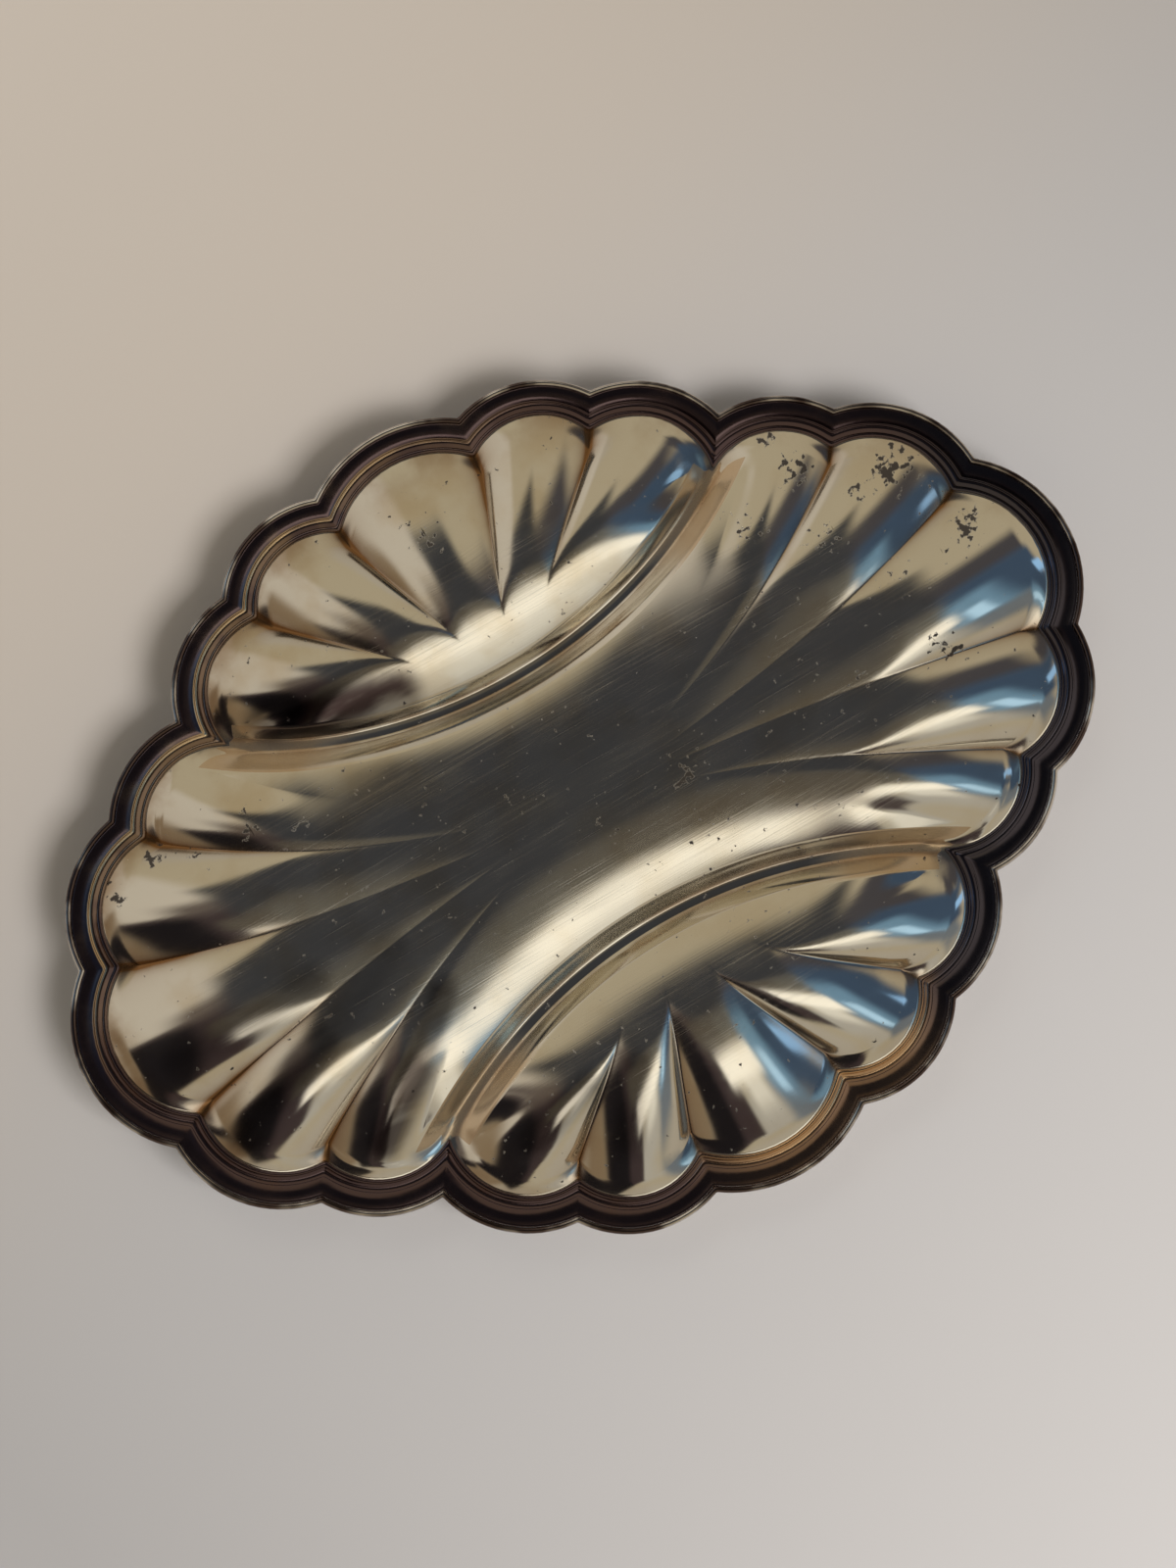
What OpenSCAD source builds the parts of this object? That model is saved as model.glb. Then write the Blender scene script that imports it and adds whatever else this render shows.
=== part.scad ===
// Divided serving platter: a pressed pan with three fluted compartments, a scalloped border and an edge wire.
// Millimetres. X runs along the platter, Y across it and Z up from the table that it stands on.
// The platter is the same in all four quarters, so the sizes below describe the quarter with +X and +Y.

/* [Outline of the middle compartment's ends] */
// Notches beside the end tip lobe, distance from the middle along X
end_tip_notch_x = 170; // [164:0.5:176]
// Notches beside the end tip lobe, distance from the long axis
end_tip_notch_y = 32.7; // [29:0.1:36]
// How far the end tip lobe bulges past its notches
end_tip_bulge = 14.9; // [12:0.1:17]
// Notches between the shoulder and corner lobes, distance from the middle along X
end_shoulder_notch_x = 138.2; // [134:0.1:142]
// Notches between the shoulder and corner lobes, distance from the long axis
end_shoulder_notch_y = 71.1; // [67:0.1:75]
// How far a shoulder lobe of the ends bulges past its notches
end_shoulder_bulge = 8.8; // [7:0.1:11]
// How far a corner lobe of the ends bulges past its notches
end_corner_bulge = 5.3; // [4:0.1:7]

/* [Outline of the side compartments] */
// Notches where the dividers end, distance from the middle along X
divider_notch_x = 103.9; // [100:0.1:107]
// Notches where the dividers end, distance from the long axis
divider_notch_y = 89; // [86:0.1:92]
// Notches between the corner and shoulder lobes, distance from the short axis
side_shoulder_notch_x = 70.6; // [67:0.1:74]
// Notches between the corner and shoulder lobes, distance from the middle along Y
side_shoulder_notch_y = 117.6; // [114:0.1:121]
// Notches beside the side tip lobe, distance from the short axis
side_tip_notch_x = 27.5; // [24:0.1:31]
// Notches beside the side tip lobe, distance from the middle along Y
side_tip_notch_y = 131.6; // [128:0.1:135]
// How far a corner lobe of the sides bulges past its notches
side_corner_bulge = 6.9; // [5.5:0.1:8.5]
// How far a shoulder lobe of the sides bulges past its notches
side_shoulder_bulge = 7.8; // [6:0.1:9.5]
// How far the side tip lobe bulges past its notches
side_tip_bulge = 8.9; // [7:0.1:11]

/* [Pan] */
// Thickness of the pressed sheet, measured upright
sheet = 1.2; // [0.8:0.1:1.6]
// Height of the flange's upper face above the table
flange_z = 19; // [17:0.5:23]
// Width of the flat flange under the border
flange_w = 8.5; // [7:0.1:9.5]
// Width of the steep wall under the flange, seen from above
wall_w = 4.5; // [3.5:0.1:6]
// Height of a flute's hollow above the floor, at the foot of the wall
hollow_rise = 14.6; // [12:0.1:15.5]
// How far the hollow's rounded end reaches in from the wall
hollow_reach = 50; // [40:1:58]
// Height of a ridge above the floor, at the foot of the wall
ridge_rise = 16.6; // [15:0.1:17.5]
// How far the ridges beside the end tip reach in from the wall
end_tip_ridge_reach = 120; // [100:1:140]
// How far the next ridges of the middle compartment reach in from the wall
end_shoulder_ridge_reach = 100; // [84:1:116]
// How far the outer ridges of a side compartment reach in from the wall
side_shoulder_ridge_reach = 60; // [48:1:68]
// How far the ridges beside the side tip reach in from the wall
side_tip_ridge_reach = 66; // [54:1:76]

/* [Dividers] */
// Distance of the crest from the middle, where it bends in the most
divider_y = 47; // [44:0.5:51]
// Height of the crest above the floor, there
divider_rise = 12.5; // [9.5:0.5:14]
// Half of the crest's rounded top
crest_half = 2; // [1.5:0.1:3]
// Width of the slope from the crest to its foot, in the middle compartment
inner_flank = 7.5; // [6:0.1:9]
// Width of the slope from the crest to its foot, in a side compartment
outer_flank = 7; // [5.5:0.1:8.5]
// How far a slope falls from the crest to its foot
flank_drop = 7; // [5.5:0.1:8]
// How far the floor curves up beside a divider
floor_curve = 31; // [24:1:36]

/* [Border] */
// Width of the rim from its outer edge to the top of the pan's wall
rim_w = 12; // [11:0.1:13]
// How far the border stays back from the pan's wall
border_setback = 0.2; // [0.1:0.1:0.5]
// Thickness of the border's flat strip
strip = 1.2; // [1:0.1:1.5]
// Radius of the large reed
reed_r = 1.4; // [1.1:0.1:1.6]
// Radius of the small reed beside the wall
small_reed_r = 0.85; // [0.6:0.05:1]
// Depth of the hollow between the large reed and the edge wire
channel_depth = 0.35; // [0.2:0.05:0.5]

/* [Edge wire] */
// Diameter of the wire along the outer edge
wire_d = 2; // [1.6:0.1:2.2]
// Gap between the wire and its seat in the border
wire_gap = 0.02; // [0.01:0.01:0.05]

/* [Hidden] */

// Outline: twenty notches, counted round from the end tip lobe at +X, with one lobe from each notch to the next
quarter = [
    [end_tip_notch_x, end_tip_notch_y],
    [end_shoulder_notch_x, end_shoulder_notch_y],
    [divider_notch_x, divider_notch_y],
    [side_shoulder_notch_x, side_shoulder_notch_y],
    [side_tip_notch_x, side_tip_notch_y]
];
notches = concat(
    quarter,
    [for (i = [4:-1:0]) [-quarter[i].x, quarter[i].y]],
    [for (i = [0:4]) -quarter[i]],
    [for (i = [4:-1:0]) [quarter[i].x, -quarter[i].y]]
);
lobes = len(notches);
bulges = [
    end_shoulder_bulge, end_corner_bulge, side_corner_bulge, side_shoulder_bulge, side_tip_bulge,
    side_shoulder_bulge, side_corner_bulge, end_corner_bulge, end_shoulder_bulge, end_tip_bulge
];
end_tip = lobes - 1;
end_shoulder = 0;
end_corner = 1;
side_corner = 2;
side_shoulder = 3;
side_tip = 4;

function lobe_chord(k) = notches[(k + 1) % lobes] - notches[k];
function lobe_bulge(k) = bulges[k % len(bulges)];
function lobe_r(k) = (pow(norm(lobe_chord(k)) / 2, 2) + pow(lobe_bulge(k), 2)) / (2 * lobe_bulge(k));
function lobe_inward(k) = [-lobe_chord(k).y, lobe_chord(k).x] / norm(lobe_chord(k));
function lobe_centre(k) =
    notches[k] + lobe_chord(k) / 2 + lobe_inward(k) * (lobe_r(k) - lobe_bulge(k));

// Where two circles cross, on the side nearer to a given point
function crossing(c1, r1, c2, r2, near) =
    let (
        along = (c2 - c1) / norm(c2 - c1),
        across = [-along.y, along.x],
        a = (pow(norm(c2 - c1), 2) + r1 * r1 - r2 * r2) / (2 * norm(c2 - c1)),
        h = sqrt(max(0, r1 * r1 - a * a)),
        p = c1 + along * a + across * h,
        q = c1 + along * a - across * h
    )
    norm(p - near) < norm(q - near) ? p : q;

// A notch of the outline moved in by a depth, where the two lobes' own offset arcs cross
function notch_at(k, depth) =
    let (before = (k + lobes - 1) % lobes, here = k % lobes)
    crossing(
        lobe_centre(before), lobe_r(before) - depth,
        lobe_centre(here), lobe_r(here) - depth,
        notches[here]
    );

function heading(v) = atan2(v.y, v.x);
function mix(a, b, t) = a + (b - a) * t;

// A point on a lobe's arc at a depth, part way from one point of that arc to another, anticlockwise
function on_lobe(k, depth, from, to, t) =
    let (
        c = lobe_centre(k),
        start = heading(from - c),
        sweep = (heading(to - c) - start + 720) % 360
    )
    c + (lobe_r(k) - depth) * [cos(start + sweep * t), sin(start + sweep * t)];

// Dividers: each crest is an arc from a notch of the wall's top line, through the point nearest the middle
divider_end = notch_at(side_corner, rim_w);
divider_cy = (pow(norm(divider_end), 2) - divider_y * divider_y) / (2 * (divider_end.y - divider_y));
divider_r = divider_cy - divider_y;
divider_c = [0, divider_cy];
divider_start = heading(divider_end - divider_c);
// Crests climb to the rim over this share of their half length, and their points crowd towards the middle
climb_share = 0.45;
crowding = 1.6;
floor_z = sheet;
rim_rise = flange_z - sheet;
corner_foot = rim_rise - flank_drop;

function crest_share(p) =
    min(1, max(0, (heading(p - divider_c) - divider_start) / (-90 - divider_start)));
function crest_rise(p) =
    divider_rise + (rim_rise - divider_rise) * pow(max(0, 1 - crest_share(p) / climb_share), 2);
// The corner where a lobe's arc at a depth meets a line beside the crest
function corner(k, depth, offset) =
    crossing(lobe_centre(k), lobe_r(k) - depth, divider_c, divider_r + offset, divider_end);

// Pan surface: columns of points from the boundary of a compartment across its floor, in one quarter
per_lobe = 8;
half_lobe = per_lobe / 2;
// Columns counted from the end tip: its notch, the next notch, the divider's end and the side tip's notches
q_tip = half_lobe;
q_shoulder = q_tip + per_lobe;
q_divider = q_shoulder + per_lobe;
q_side_shoulder = q_divider + per_lobe;
q_side_tip = q_side_shoulder + per_lobe;
q_last = q_side_tip + half_lobe;
around = 4 * q_last;

// Wall rows, from its top to its foot: depth from the outline, offset from the crest and share of the fall
wall_mid = 0.28;
wall_fall = 0.45;
crest_fall = 0.35;
function wall_depth(row) = rim_w + wall_w * [0, wall_mid, 1][row];
function flank_offset(row, flank) = [0, crest_half, flank][row];

// Place along the lobe: 0 in the flute's hollow, and 1 or -1 at its two ridges
function lobe_phase(q) =
    q <= q_tip ? q / half_lobe :
    q <= q_shoulder ? (q - q_tip) / half_lobe - 1 :
    q <= q_divider ? (q - q_shoulder) / half_lobe - 1 :
    q <= q_side_shoulder ? (q - q_divider) / half_lobe - 1 :
    q <= q_side_tip ? (q - q_side_shoulder) / half_lobe - 1 :
    (q - q_side_tip) / half_lobe - 1;
// How far the nearer ridge of a column reaches; the corner beside a divider has no ridge of its own
function beside_divider(q) = abs(q - q_divider) < half_lobe;
function ridge_reach(q) =
    q <= q_tip + half_lobe ? end_tip_ridge_reach :
    q < q_divider ? end_shoulder_ridge_reach :
    q <= q_side_shoulder + half_lobe ? side_shoulder_ridge_reach :
    side_tip_ridge_reach;
ridge_above_hollow = max(0, min(ridge_rise, rim_rise - 1) - hollow_rise);

// How the slopes curve: along a hollow, along a ridge, and across a flute from its hollow to its ridge
hollow_curve = 1.8;
ridge_curve = 1.3;
flute_curve = 1.6;
function eased(distance, reach, power) = pow(max(0, 1 - distance / reach), power);
// Height of the fluted wall above the floor, at a distance in from its foot
function flute_rise(q, distance) =
    let (
        hollow = hollow_rise * eased(distance, hollow_reach, hollow_curve),
        ridge = beside_divider(q) ?
            max(hollow, corner_foot * eased(distance, floor_curve, 2)) :
            hollow + ridge_above_hollow * eased(distance, ridge_reach(q), ridge_curve)
    )
    mix(hollow, ridge, pow(abs(lobe_phase(q)), flute_curve));
// Height of the curved floor beside a divider, at a distance from its foot
function bank_rise(p, distance) = (crest_rise(p) - flank_drop) * eased(distance, floor_curve, 2);
function at_height(p, rise) = [p.x, p.y, floor_z + rise];

// A point of the rim's wall in the middle compartment
function end_wall_point(q, row) =
    let (d = wall_depth(row), turn = corner(end_corner, d, flank_offset(row, inner_flank)))
    q <= q_tip ?
        on_lobe(end_tip, d, notch_at(end_tip, d), notch_at(end_shoulder, d), 0.5 + q / per_lobe) :
    q <= q_shoulder ?
        on_lobe(end_shoulder, d, notch_at(end_shoulder, d), notch_at(end_corner, d), (q - q_tip) / per_lobe) :
        on_lobe(end_corner, d, notch_at(end_corner, d), turn, (q - q_shoulder) / per_lobe);
// A point of the rim's wall in a side compartment
function side_wall_point(q, row) =
    let (d = wall_depth(row), turn = corner(side_corner, d, -flank_offset(row, outer_flank)))
    q <= q_side_shoulder ?
        on_lobe(side_corner, d, turn, notch_at(side_shoulder, d), (q - q_divider) / per_lobe) :
    q <= q_side_tip ?
        on_lobe(
            side_shoulder, d, notch_at(side_shoulder, d), notch_at(side_tip, d), (q - q_side_shoulder) / per_lobe
        ) :
        on_lobe(side_tip, d, notch_at(side_tip, d), notch_at(side_tip + 1, d), (q - q_side_tip) / per_lobe);

// A point of a divider's crest or of its slope, between the corner at the rim and the middle
function divider_share(q) = 1 - pow(1 - (q - q_divider) / (q_last - q_divider), crowding);
function flank_point(q, row, flank, side) =
    let (
        offset = side * flank_offset(row, flank),
        lobe = side > 0 ? end_corner : side_corner,
        turn = corner(lobe, wall_depth(row), offset),
        first = heading(turn - divider_c),
        a = mix(first, -90, divider_share(q))
    )
    divider_c + (divider_r + offset) * [cos(a), sin(a)];

function wall_rise(q, row) =
    row == 0 ? rim_rise : mix(rim_rise, flute_rise(q, 0), [0, wall_fall, 1][row]);
function flank_rise(p, row) = crest_rise(p) - [0, crest_fall, flank_drop][row];

// Middle compartment: wall or divider first, then a curve to the middle that follows the ridges
inner_steps = [0.05, 0.12, 0.2, 0.32, 0.48, 0.7];
inner_rows = 3 + len(inner_steps);
function inner_edge(q, row) =
    q <= q_divider ? end_wall_point(q, row) : flank_point(q, row, inner_flank, 1);
function inner_path(q, t) =
    let (
        foot = inner_edge(q, 2),
        bend = [0.6 * foot.x, (0.2 + 0.3 * sqrt(q / q_last)) * foot.y]
    )
    foot * pow(1 - t, 2) + bend * 2 * t * (1 - t);
function inner_rise(q, p) =
    let (
        bank = bank_rise(p, max(0, norm(p - divider_c) - divider_r - inner_flank)),
        flute = q <= q_divider ? flute_rise(q, norm(p - inner_edge(q, 2))) : 0,
        between = divider_c.y > p.y
    )
    between ? max(bank, flute) : flute;
function inner_point(q, row) =
    row < 3 ?
        let (p = inner_edge(q, row))
        at_height(p, q < q_divider ? wall_rise(q, row) : q == q_divider ? corner_rise(row) : flank_rise(p, row)) :
        let (p = inner_path(q, inner_steps[row - 3]))
        at_height(p, inner_rise(q, p));
// Heights down the corner where the rim's wall meets a divider
function corner_rise(row) = mix(rim_rise, corner_foot, [0, wall_fall, 1][row]);

// Side compartment: from the crest down its slope, across the floor along the fan of ridges and up the wall
outer_steps = [0.16, 0.38, 0.6, 0.79, 0.92];
outer_rows = 6 + len(outer_steps);
fan = [0, divider_y + 3];
fan_pull = 0.75;
function outer_path(q, t) =
    let (
        start = flank_point(q, 2, outer_flank, -1),
        end = side_wall_point(q, 2),
        pull = fan_pull * min(1, 0.1 + (q - q_divider) / per_lobe),
        bend = mix(end, fan, pull)
    )
    start * pow(1 - t, 3) + bend * 3 * t * (1 - t) + end * pow(t, 3);
function outer_rise(q, p) =
    max(
        flute_rise(q, norm(p - side_wall_point(q, 2))),
        bank_rise(p, max(0, divider_r - outer_flank - norm(p - divider_c)))
    );
function outer_point(q, row) =
    let (from_top = outer_rows - 1 - row)
    row < 3 ?
        let (p = flank_point(q, row, outer_flank, -1))
        at_height(p, q == q_divider ? corner_rise(row) : flank_rise(p, row)) :
    from_top < 3 ?
        at_height(side_wall_point(q, from_top), wall_rise(q, from_top)) :
        let (p = outer_path(q, outer_steps[row - 3]))
        at_height(p, outer_rise(q, p));

// A point of the outline moved in by a depth, in one quarter
function outline_point(q, depth) =
    let (k = q <= q_tip ? end_tip : floor((q - q_tip - 0.5) / per_lobe))
    on_lobe(
        k, depth, notch_at(k, depth), notch_at(k + 1, depth),
        q <= q_tip ? 0.5 + q / per_lobe : (q - q_tip) / per_lobe - k
    );

// All four quarters from one: columns run back and forth, and the signs change
function column_of(i) = floor(i / q_last) % 2 == 0 ? i % q_last : q_last - i % q_last;
function signs_of(i) = [[1, 1], [-1, 1], [-1, -1], [1, -1]][floor(i / q_last) % 4];
function turned(p, s) = [p.x * s.x, p.y * s.y, p.z];
// One whole turn of the outline at a depth and a height
function outline_ring(depth, z) = [for (i = [0:around - 1])
    let (p = outline_point(column_of(i), depth))
    turned([p.x, p.y, z], signs_of(i))];

// Order of the surface's points: rings of the middle compartment, its centre, two side grids, the flange's edge
side_columns = 2 * (q_last - q_divider);
side_points = (side_columns - 1) * (outer_rows - 1);
side_size = side_points + 4;
centre_index = inner_rows * around;
flange_index = centre_index + 1 + 2 * side_size;
surface_size = flange_index + around;

function side_start(p) = centre_index + 1 + p * side_size;
function side_station(p, t) = q_divider + 2 * q_last * p + t;
// The two pointed ends of a side grid fold onto the divider's end, a corner point and a foot point
function side_index(p, t, row) =
    let (
        tip = t == 0 || t == side_columns,
        top = outer_rows - 1,
        spare = side_start(p) + side_points + (t == 0 ? 0 : 2)
    )
    row == 0 || (tip && row == top) ? side_station(p, t) :
    tip ? spare + (row == 1 || row == top - 1 ? 0 : 1) :
    side_start(p) + (t - 1) * (outer_rows - 1) + row - 1;
function rim_index(i) =
    let (p = i < 2 * q_last ? 0 : 1, t = i - side_station(p, 0))
    t > 0 && t < side_columns ? side_index(p, t, outer_rows - 1) : i;

function side_point(p, t, row) =
    let (i = side_station(p, t))
    turned(outer_point(column_of(i), row), signs_of(i));

surface = concat(
    [for (row = [0:inner_rows - 1]) for (i = [0:around - 1])
        turned(inner_point(column_of(i), row), signs_of(i))],
    [[0, 0, floor_z]],
    [for (p = [0:1]) each concat(
        [for (t = [1:side_columns - 1]) for (row = [1:outer_rows - 1]) side_point(p, t, row)],
        [for (t = [0, side_columns]) for (row = [1:2]) side_point(p, t, row)]
    )],
    outline_ring(rim_w - flange_w, flange_z)
);

// Two triangles of a four-sided patch, leaving out any that has folded to nothing
function patch(a, b, c, d) = concat(
    a == b || b == c || c == a ? [] : [[a, b, c]],
    a == c || c == d || d == a ? [] : [[a, c, d]]
);
upper_faces = concat(
    [for (row = [0:inner_rows - 2]) for (i = [0:around - 1])
        let (a = row * around + i, b = row * around + (i + 1) % around)
        each patch(a, a + around, b + around, b)],
    [for (i = [0:around - 1])
        let (a = (inner_rows - 1) * around)
        [a + i, centre_index, a + (i + 1) % around]],
    [for (p = [0:1]) for (t = [0:side_columns - 1]) for (row = [0:outer_rows - 2])
        each patch(
            side_index(p, t, row), side_index(p, t + 1, row),
            side_index(p, t + 1, row + 1), side_index(p, t, row + 1)
        )],
    [for (i = [0:around - 1])
        let (j = (i + 1) % around)
        each patch(rim_index(i), rim_index(j), flange_index + j, flange_index + i)]
);
edge_faces = [for (i = [0:around - 1])
    let (a = flange_index + i, b = flange_index + (i + 1) % around)
    each patch(a, b, b + surface_size, a + surface_size)];

// Border and wire: a profile of depths and heights, carried round the outline and mitred at its notches
border_in = rim_w - border_setback;
border_out = wire_d + wire_gap;
wire_r = wire_d / 2;
small_reed_at = border_in - small_reed_r;
reed_at = small_reed_at - small_reed_r - reed_r;
channel_in = reed_at - reed_r;
channel_at = (channel_in + border_out) / 2;
function reed(at, r, angles) = [for (a = angles) [at + r * cos(a), strip / 2 + r * sin(a)]];
border_profile = concat(
    [[border_in, 0]],
    reed(small_reed_at, small_reed_r, [0, 75]),
    [[small_reed_at - small_reed_r, strip]],
    reed(reed_at, reed_r, [55, 90, 125]),
    [[channel_in, strip], [channel_at, strip - channel_depth], [border_out, strip], [border_out, 0]]
);
wire_sides = 6;
wire_profile = [for (i = [0:wire_sides - 1])
    let (a = (i + 0.5) * 360 / wire_sides)
    [wire_r + wire_r * cos(a) / cos(180 / wire_sides), wire_r + wire_r * sin(a)]];

module rim_sweep(profile) {
    sides = len(profile);
    polyhedron(
        points = [for (p = profile) each outline_ring(p[0], flange_z + p[1])],
        faces = [for (j = [0:sides - 1]) for (i = [0:around - 1])
            let (a = j * around, b = (j + 1) % sides * around, n = (i + 1) % around)
            each patch(a + i, a + n, b + n, b + i)],
        convexity = 6
    );
}

module pan() {
    color("silver") polyhedron(
        points = concat(surface, [for (p = surface) p - [0, 0, sheet]]),
        faces = concat(
            upper_faces,
            [for (f = upper_faces) [f[0] + surface_size, f[2] + surface_size, f[1] + surface_size]],
            edge_faces
        ),
        convexity = 6
    );
}

module rim_border() {
    color("sienna") rim_sweep(border_profile);
}

module edge_wire() {
    color("gainsboro") rim_sweep(wire_profile);
}

pan();
rim_border();
edge_wire();
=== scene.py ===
"""Looks of a divided serving platter: worn, tarnished silver plate lying on a pale table.

Metres. X runs along the platter, Y across it and Z up from the table. The shapes follow the construction of
the solids, with finer steps, rounded ridges, folds and reeds, and a floor that rises earlier at the ends of
the dividers.
"""

import logging
import math
from collections.abc import Sequence
from dataclasses import dataclass, field
from enum import Enum

import bpy
import numpy as np
from mathutils import Matrix, Vector


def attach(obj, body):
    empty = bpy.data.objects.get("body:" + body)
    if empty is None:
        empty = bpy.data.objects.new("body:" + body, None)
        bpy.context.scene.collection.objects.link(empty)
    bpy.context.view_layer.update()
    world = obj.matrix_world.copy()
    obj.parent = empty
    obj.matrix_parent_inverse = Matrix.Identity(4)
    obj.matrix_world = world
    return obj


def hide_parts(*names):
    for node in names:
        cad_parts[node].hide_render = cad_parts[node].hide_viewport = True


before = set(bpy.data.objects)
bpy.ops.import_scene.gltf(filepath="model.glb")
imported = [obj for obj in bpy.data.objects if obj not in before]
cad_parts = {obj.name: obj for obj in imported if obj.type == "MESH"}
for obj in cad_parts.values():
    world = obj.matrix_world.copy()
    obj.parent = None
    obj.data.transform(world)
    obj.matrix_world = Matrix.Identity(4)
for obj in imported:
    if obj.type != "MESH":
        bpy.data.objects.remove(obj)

log = logging.getLogger("platter")

Array = np.ndarray
Colour = tuple[float, float, float]
Socket = bpy.types.NodeSocket

MM = 0.001
WELD = 0.002 * MM
FAR = 200 * MM
LEAST_ROUNDING = 0.3 * MM

# Signs of X and Y in the four quarters.
QUARTERS = ((1, 1), (-1, 1), (-1, -1), (1, -1))

# Lobes round the whole outline, and the half lobes of a quarter, counted from the middle of the end tip.
# The last half lobe of the middle compartment and the first of the side compartment meet at the divider.
LOBES = 20
MIDDLE_HALVES = range(5)
SIDE_HALVES = range(5, 10)
ALL_HALVES = range(10)
CORNER_HALVES = (4, 5)


class Value:
    """A shader value: an expression on it adds the Math nodes that work it out."""

    def __init__(self, nodes: "Nodes", socket: Socket) -> None:
        """Wraps an output socket of a node tree."""
        self.nodes = nodes
        self.socket = socket

    def __add__(self, other: "Value | float") -> "Value":
        """This value plus another."""
        return self.nodes.maths("ADD", self, other)

    def __radd__(self, other: "Value | float") -> "Value":
        """Another value plus this one."""
        return self.nodes.maths("ADD", other, self)

    def __sub__(self, other: "Value | float") -> "Value":
        """This value less another."""
        return self.nodes.maths("SUBTRACT", self, other)

    def __rsub__(self, other: "Value | float") -> "Value":
        """Another value less this one."""
        return self.nodes.maths("SUBTRACT", other, self)

    def __mul__(self, other: "Value | float") -> "Value":
        """This value times another."""
        return self.nodes.maths("MULTIPLY", self, other)

    def __rmul__(self, other: "Value | float") -> "Value":
        """Another value times this one."""
        return self.nodes.maths("MULTIPLY", other, self)

    def __truediv__(self, other: "Value | float") -> "Value":
        """This value divided by another."""
        return self.nodes.maths("DIVIDE", self, other)

    def at_least(self, low: "Value | float") -> "Value":
        """The larger of this value and another."""
        return self.nodes.maths("MAXIMUM", self, low)

    def at_most(self, high: "Value | float") -> "Value":
        """The smaller of this value and another."""
        return self.nodes.maths("MINIMUM", self, high)

    def step(self, low: "Value | float", high: "Value | float") -> "Value":
        """A smooth step from 0 at one value to 1 at another.

        Args:
            low: Where the step starts; it may be above the end, for a step down.
            high: Where the step ends.

        Returns:
            A value from 0 to 1.
        """
        settings = {"interpolation_type": "SMOOTHSTEP"}
        return self.nodes.value("ShaderNodeMapRange", 0, settings, {0: self, 1: low, 2: high})


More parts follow.
